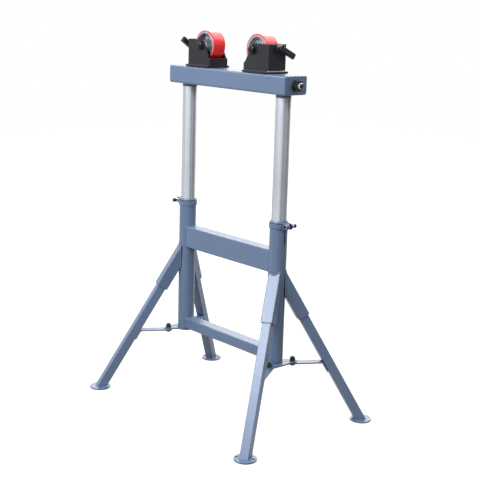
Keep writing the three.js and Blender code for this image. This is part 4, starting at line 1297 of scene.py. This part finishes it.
class STAND_OT_blocks(bpy.types.Operator):
    """Model the base plates, bent brackets, lip plates and nuts of the roller blocks"""

    bl_idname = "stand.blocks"
    bl_label = "Roller blocks"

    def execute(self, context):
        sizes = context.scene.stand_sizes
        for stem, piece, finish in (
            ("block_base", block_plate("block_base"), "black_paint"),
            ("block_lip", block_plate("block_lip"), "black_paint"),
            ("block_nut", block_nut(sizes), "bronze"),
        ):
            install_pair(dress(piece, finish), stem, AT_BLOCK, "carriage_{side}", finish)
        for side, place in (("right", AT_BLOCK), ("left", HALF_TURN @ AT_BLOCK)):
            piece = dress(moved(bracket(sizes, side), place), "black_paint")
            install(piece, f"carriage_{side}", "black_paint", f"block_bracket_{side}")
        bead = bracket_bead(sizes)
        install_pair(bead, "block_weld", AT_BLOCK, "carriage_{side}", "black_paint", node=False)
        return {"FINISHED"}


def tyre(sizes):
    """Ring with rounded shoulders and a slight crown."""
    outer = sizes.wheel_radius
    inner = outer - sizes.tyre_thickness
    half = sizes.wheel_width / 2
    rounding = 0.0032
    crown = 0.0002
    upper = arc(outer - crown - rounding, half - rounding, rounding, 0, QUARTER)
    upper += [(inner + 0.0006, half), (inner, half - 0.0004)]
    lower = [(radius, -height) for radius, height in reversed(upper)]
    profile = lower + [(outer, 0.0)] + upper
    return dress(turned("wheel_tyre", profile, closed=True, steps=WHEEL_STEPS), "red_tyre")


def wheel_core(sizes):
    """Cast centre: rim with a bright face, recessed web, long hub and ribs on both faces."""
    outer = sizes.wheel_radius - sizes.tyre_thickness - FIT_GAP
    rim = outer - 0.006
    half = sizes.wheel_width / 2
    web = 0.005
    hub = 0.02
    hub_half = extent("wheel_core_right", "y")[1]
    bore = 0.0142
    rounding = 0.0035
    part = 0.3 * rounding
    rim_foot = rim - 0.0015
    side = [(outer, half - 0.0006), (outer - 0.0006, half), (rim + 0.001, half), (rim, half - 0.001)]
    side += [(rim_foot, web + rounding), (rim_foot - part, web + part), (rim_foot - rounding, web)]
    side += [(hub + rounding, web), (hub + part, web + part), (hub, web + rounding)]
    side += [(hub - 0.001, hub_half - 0.0008), (hub - 0.0018, hub_half)]
    side += [(bore + 0.0006, hub_half), (bore, hub_half - 0.0006)]
    body = turned("wheel_core", mirrored(side), closed=True, steps=WHEEL_STEPS)
    start = hub - 0.003
    end = rim + 0.001
    high = web + 0.008
    outline = [(start, -high), (end, -0.6 * high), (end, 0.6 * high), (start, high)]
    for count in range(6):
        rib = soften(extruded("rib", on_xz(outline, -0.0025), (0, 0.005, 0)), 0.0012, 3)
        joined(body, moved(rib, Matrix.Rotation(count * math.pi / 3, 4, "Z")))
    rim_face = half - 0.0015
    paint_faces(dress(body, "cast_core"), "zinc",
                lambda c: abs(c.z) > rim_face and math.hypot(c.x, c.y) > sizes.wheel_radius / 2)
    return body


def bearing():
    """Two races with a sunk shield between them on each face."""
    half = extent("wheel_bearing_right", "y")[1]
    outer = 0.0139
    inner = 0.0081
    shield = half - 0.0008
    side = [(inner, half - 0.0005), (inner + 0.0005, half), (inner + 0.0018, half), (inner + 0.002, shield)]
    side += [(outer - 0.0018, shield), (outer - 0.0016, half), (outer - 0.0004, half), (outer, half - 0.0004)]
    return dress(turned("wheel_bearing", mirrored(side), closed=True, steps=ROUND_STEPS), "zinc")


def axle_bolt():
    """Along Z before it is turned: nut and thread end low, at the front; head high, at the back."""
    low, high = extent("axle_bolt_right", "y")
    wing = extent("block_bracket_right", "y")[1]
    across_flats = 0.024
    seat = wing + 0.0022
    washers = []
    for sign in (-1, 1):
        ends = sorted((sign * (wing + SEAT_GAP), sign * seat))
        washers.append(soften(rod("washer", 0.0145, (0, 0, ends[0]), (0, 0, ends[1])), 0.0003))
    nut = hexagon("axle_bolt", across_flats, -wing - 0.0137, -seat)
    head = hexagon("head", across_flats, seat, high, False, True)
    shank = threaded("shank", 0.008, low, wing + 0.006, 0.002, low, -wing - 0.012)
    return dress(join_pieces(nut, *washers, head, shank), "black_steel")


class STAND_OT_wheels(bpy.types.Operator):
    """Model the wheels, their bearings and axle bolts"""

    bl_idname = "stand.wheels"
    bl_label = "Wheels"

    def execute(self, context):
        sizes = context.scene.stand_sizes
        right = Matrix.Translation((AXLE_X, 0, AXLE_HEIGHT))
        left = Matrix.Translation((-AXLE_X, 0, AXLE_HEIGHT))
        for stem, piece, slot, body in (
            ("wheel_tyre", tyre(sizes), "red_tyre", "wheel_{side}"),
            ("wheel_core", wheel_core(sizes), "cast_core", "wheel_{side}"),
            ("wheel_bearing", bearing(), "zinc", "wheel_{side}"),
            ("axle_bolt", axle_bolt(), "black_steel", "carriage_{side}"),
        ):
            install_pair(moved(piece, LAID_ALONG_Y), stem, right, body, slot, left_place=left)
        return {"FINISHED"}


# Brakes, modelled about the screw's axis with heights from the axle outward


BRAKE_COLLAR = BRACKET_FACE + 0.0034
BRAKE_COLLAR_HEIGHT = 0.004


def brake_pad():
    low, high = extent("brake_pad_right", "x")
    low -= AXLE_X
    high -= AXLE_X
    radius = 0.0129
    cup = high - 0.0022
    profile = [(0, low), (radius - 0.0012, low), (radius, low + 0.0012), (radius, high - 0.0005)]
    profile += [(radius - 0.0005, high), (0.0045, high), (0.0043, cup), (0, cup)]
    return turned("brake_pad", profile)


def brake_screw():
    """Plain tip in the pad, thread through the bracket and hexagon collar under the lever."""
    low, high = extent("brake_screw_right", "x")
    low -= AXLE_X
    high -= AXLE_X
    shoulder = low + 0.002
    tip_high = shoulder + 0.002
    tip_radius = 0.004
    profile = [(0, low), (0.0034, low), (tip_radius, low + 0.0006), (tip_radius, tip_high), (0, tip_high)]
    shank = threaded("shank", 0.006, shoulder, high, 0.00175, shoulder, BRAKE_COLLAR)
    collar = hexagon("collar", 0.0185, BRAKE_COLLAR, BRAKE_COLLAR + BRAKE_COLLAR_HEIGHT)
    return join_pieces(turned("brake_screw", profile), shank, collar)


def brake_lever():
    """Round hub on the screw and one arm that rises away from the bracket."""
    start = BRAKE_COLLAR + BRAKE_COLLAR_HEIGHT + 0.0003
    end = start + 0.017
    cap = end - 0.0008
    profile = [(0, start), (0.0094, start), (0.0101, start + 0.0007), (0.0106, end - 0.004)]
    profile += arc(0.0076, end - 0.003, 0.003, 0, QUARTER) + [(0.0058, end), (0.0055, cap), (0, cap)]
    hub = moved(turned("brake_lever", profile), LAID_ALONG_X)
    middle = (start + end) / 2
    half = 0.008
    tip = middle + 0.012
    tip_height = 0.055 - half
    outline = [(middle - half, 0.0), (middle + half - 0.001, 0.0)]
    outline += arc(tip, tip_height, half, 0, 2 * QUARTER, 10)
    thickness = 0.019
    arm = soften(extruded("arm", on_xy(outline, -thickness / 2), (0, 0, thickness)), 0.0032, 4, 50)
    return joined(hub, arm)


class STAND_OT_brakes(bpy.types.Operator):
    """Model the brake pads, screws and levers"""

    bl_idname = "stand.brakes"
    bl_label = "Brakes"

    def execute(self, context):
        places = {}
        for side, degrees in (("right", -31), ("left", 40)):
            tilt = Matrix.Rotation(math.radians(degrees), 4, "X")
            places[side] = Matrix.Translation((AXLE_X, 0, middle_of(f"brake_pad_{side}", "z"))) @ tilt
        for stem, piece, body, slot in (
            ("brake_pad", moved(brake_pad(), LAID_ALONG_X), "brake_pad_{side}", "black_steel"),
            ("brake_screw", moved(brake_screw(), LAID_ALONG_X), "brake_lever_{side}", "zinc"),
            ("brake_lever", brake_lever(), "brake_lever_{side}", "lever_plastic"),
        ):
            left = HALF_TURN @ places["left"]
            install_pair(dress(piece, slot), stem, places["right"], body, slot, left_place=left)
        return {"FINISHED"}


# Stage


def bare_material(name):
    """Material without a shader; returns it with its node tree."""
    material = bpy.data.materials.new(name)
    material.use_nodes = True
    tree = material.node_tree
    tree.nodes.remove(tree.nodes["Principled BSDF"])
    return material, tree


def seen_or_lit(tree, lit, seen, output):
    """Shows one shader where the camera, a mirror or glass looks, and lights the rest with another."""
    path = add_node(tree, "ShaderNodeLightPath").outputs
    mirror = math_node(tree, "MAXIMUM", path["Is Glossy Ray"], path["Is Transmission Ray"])
    direct = math_node(tree, "MAXIMUM", path["Is Camera Ray"], mirror)
    mix = add_node(tree, "ShaderNodeMixShader", {0: direct, 1: lit.outputs[0], 2: seen.outputs[0]})
    plug(tree, tree.nodes[output].inputs["Surface"], mix.outputs[0])


def add_floor():
    """Floor that looks nearly white and takes shadows, but throws back little light."""
    deselect_all()
    bpy.ops.mesh.primitive_plane_add(size=14.0, location=(0, 0, -0.0004))
    floor = named(bpy.context.object, "floor")
    bpy.ops.object.transform_apply(location=True, rotation=True, scale=True)
    material, tree = bare_material("floor")
    path = add_node(tree, "ShaderNodeLightPath").outputs
    glow = math_node(tree, "MULTIPLY_ADD", path["Is Camera Ray"], 0.45, 0.45)
    white = add_node(tree, "ShaderNodeEmission", {"Color": (1, 1, 1, 1), "Strength": glow})
    shaded = add_node(tree, "ShaderNodeBsdfDiffuse", {"Color": (0.3, 0.3, 0.3, 1)})
    pale = add_node(tree, "ShaderNodeAddShader", {0: shaded.outputs[0], 1: white.outputs[0]})
    bounce = add_node(tree, "ShaderNodeBsdfDiffuse", {"Color": (0.14, 0.115, 0.09, 1)})
    seen_or_lit(tree, bounce, pale, "Material Output")
    floor.data.materials.append(material)


def add_surroundings(scene, ambient):
    """White where it is seen, dimmer as a light."""
    scene.world = bpy.data.worlds.new("studio")
    scene.world.use_nodes = True
    tree = scene.world.node_tree
    light = tree.nodes["Background"]
    plug(tree, light.inputs["Color"], (0.97, 0.985, 1.0, 1))
    plug(tree, light.inputs["Strength"], ambient)
    white = add_node(tree, "ShaderNodeBackground", {"Color": (1, 1, 1, 1), "Strength": 1.0})
    seen_or_lit(tree, light, white, "World Output")


def add_card(name, line, level):
    """Grey card standing on a line, which only reflections show."""
    height = 2.7
    card = ring_of_points(name, [(x, y, 0) for x, y in line], "NOTHING")
    bpy.ops.object.mode_set(mode="EDIT")
    if len(line) > 2:
        open_ring(card)
    bpy.ops.mesh.select_all(action="SELECT")
    bpy.ops.mesh.extrude_region_move(TRANSFORM_OT_translate={"value": (0, 0, height)})
    bpy.ops.object.mode_set(mode="OBJECT")
    make_grey(card, level)


def make_grey(card, level):
    """Gives a card a grey of its own and hides it from all but reflections."""
    material, tree = bare_material(card.name)
    grey = add_node(tree, "ShaderNodeEmission", {"Color": (level, level, level, 1)})
    plug(tree, tree.nodes["Material Output"].inputs["Surface"], grey.outputs[0])
    card.data.materials.append(material)
    card.visible_camera = False
    card.visible_diffuse = False
    card.visible_shadow = False


def add_lamp(name, azimuth, elevation, distance, size, power, tint=(1.0, 1.0, 1.0)):
    """Soft lamp aimed at the middle of the stand; azimuth runs from the front to the right."""
    lamp = bpy.data.lights.new(name, "AREA")
    lamp.shape = "ELLIPSE" if size[0] == size[1] else "RECTANGLE"
    lamp.size, lamp.size_y = size
    lamp.energy = power
    lamp.color = tint
    holder = bpy.data.objects.new(name, lamp)
    bpy.context.scene.collection.objects.link(holder)
    turn = math.radians(azimuth)
    lift = math.radians(elevation)
    toward = Vector((math.cos(lift) * math.sin(turn), -math.cos(lift) * math.cos(turn), math.sin(lift)))
    holder.location = Vector((0, 0, 0.9)) + toward * distance
    holder.rotation_euler = (-toward).to_track_quat("-Z", "Y").to_euler()
    holder.visible_camera = False


def add_camera(scene, stage):
    place = Vector(stage.camera_place)
    forward = (Vector(stage.camera_target) - place).normalized()
    level = forward.cross(Vector((0, 0, 1))).normalized()
    upright = level.cross(forward)
    roll = stage.camera_roll
    right = level * math.cos(roll) + upright * math.sin(roll)
    up = upright * math.cos(roll) - level * math.sin(roll)
    data = bpy.data.cameras.new("camera")
    data.lens = stage.camera_lens
    data.sensor_width = 36.0
    camera = bpy.data.objects.new("camera", data)
    scene.collection.objects.link(camera)
    camera.matrix_world = Matrix.Translation(place) @ Matrix((right, up, -forward)).transposed().to_4x4()
    scene.camera = camera


class STAND_OT_stage(bpy.types.Operator):
    """Set the floor, the lamps, the surroundings and the camera"""

    bl_idname = "stand.stage"
    bl_label = "Stage"

    def execute(self, context):
        scene = context.scene
        stage = scene.stand_stage
        add_floor()
        add_surroundings(scene, stage.ambient)
        add_card("right_card", [(2.2, -0.9), (2.2, 1.1)], 0.36)
        add_card("back_card", [(2.2, 1.1), (1.5, 2.0), (0.5, 2.4)], 0.27)
        add_card("left_card", [(-0.9, -2.2), (-1.8, -1.5), (-2.2, -0.2)], 0.7)
        on_floor = on_xy([(0.2, 0.6), (2.2, -0.3), (2.2, 1.1), (1.5, 2.0), (0.2, 2.4)], 0.001)
        make_grey(ring_of_points("floor_card", on_floor, "NGON"), 0.32)
        square = (1.6, 1.6)
        add_lamp("key_lamp", 3, 32, 3.2, square, stage.key, (0.96, 1.0, 1.08))
        add_lamp("left_lamp", -60, 40, 3.5, square, stage.left)
        add_lamp("overhead_lamp", -178, 46, 2.9, (3.0, 1.6), stage.overhead)
        add_lamp("back_lamp", -132, 26, 8.4, (5.5, 2.4), stage.back, (1.0, 0.93, 0.8))
        add_lamp("right_lamp", 105, 24, 3.5, square, stage.right)
        add_camera(scene, stage)
        scene.view_settings.view_transform = "Standard"
        return {"FINISHED"}


OPERATORS = (
    STAND_OT_finishes,
    STAND_OT_posts,
    STAND_OT_clamps,
    STAND_OT_rails,
    STAND_OT_legs,
    STAND_OT_stays,
    STAND_OT_beam,
    STAND_OT_blocks,
    STAND_OT_wheels,
    STAND_OT_brakes,
    STAND_OT_stage,
)
GROUPS = {"stand_sizes": StandSizes, "stand_finishes": StandFinishes, "stand_stage": StandStage}


class STAND_PT_panel(bpy.types.Panel):
    """Buttons and sizes of the stand"""

    bl_idname = "STAND_PT_panel"
    bl_label = "Roller Stand"
    bl_space_type = "VIEW_3D"
    bl_region_type = "UI"
    bl_category = "Roller Stand"

    def draw(self, context):
        for operator in OPERATORS:
            self.layout.operator(operator.bl_idname)
        for name, group in GROUPS.items():
            box = self.layout.box()
            for key in group.__annotations__:
                box.prop(getattr(context.scene, name), key)


CLASSES = (*GROUPS.values(), *OPERATORS, STAND_PT_panel)


def register():
    for cls in CLASSES:
        bpy.utils.register_class(cls)
    for name, group in GROUPS.items():
        setattr(bpy.types.Scene, name, bpy.props.PointerProperty(type=group))


def unregister():
    for name in GROUPS:
        delattr(bpy.types.Scene, name)
    for cls in reversed(CLASSES):
        bpy.utils.unregister_class(cls)


def main():
    register()
    for operator in OPERATORS:
        group, name = operator.bl_idname.split(".")
        getattr(getattr(bpy.ops, group), name)()


if __name__ == "__main__":
    main()
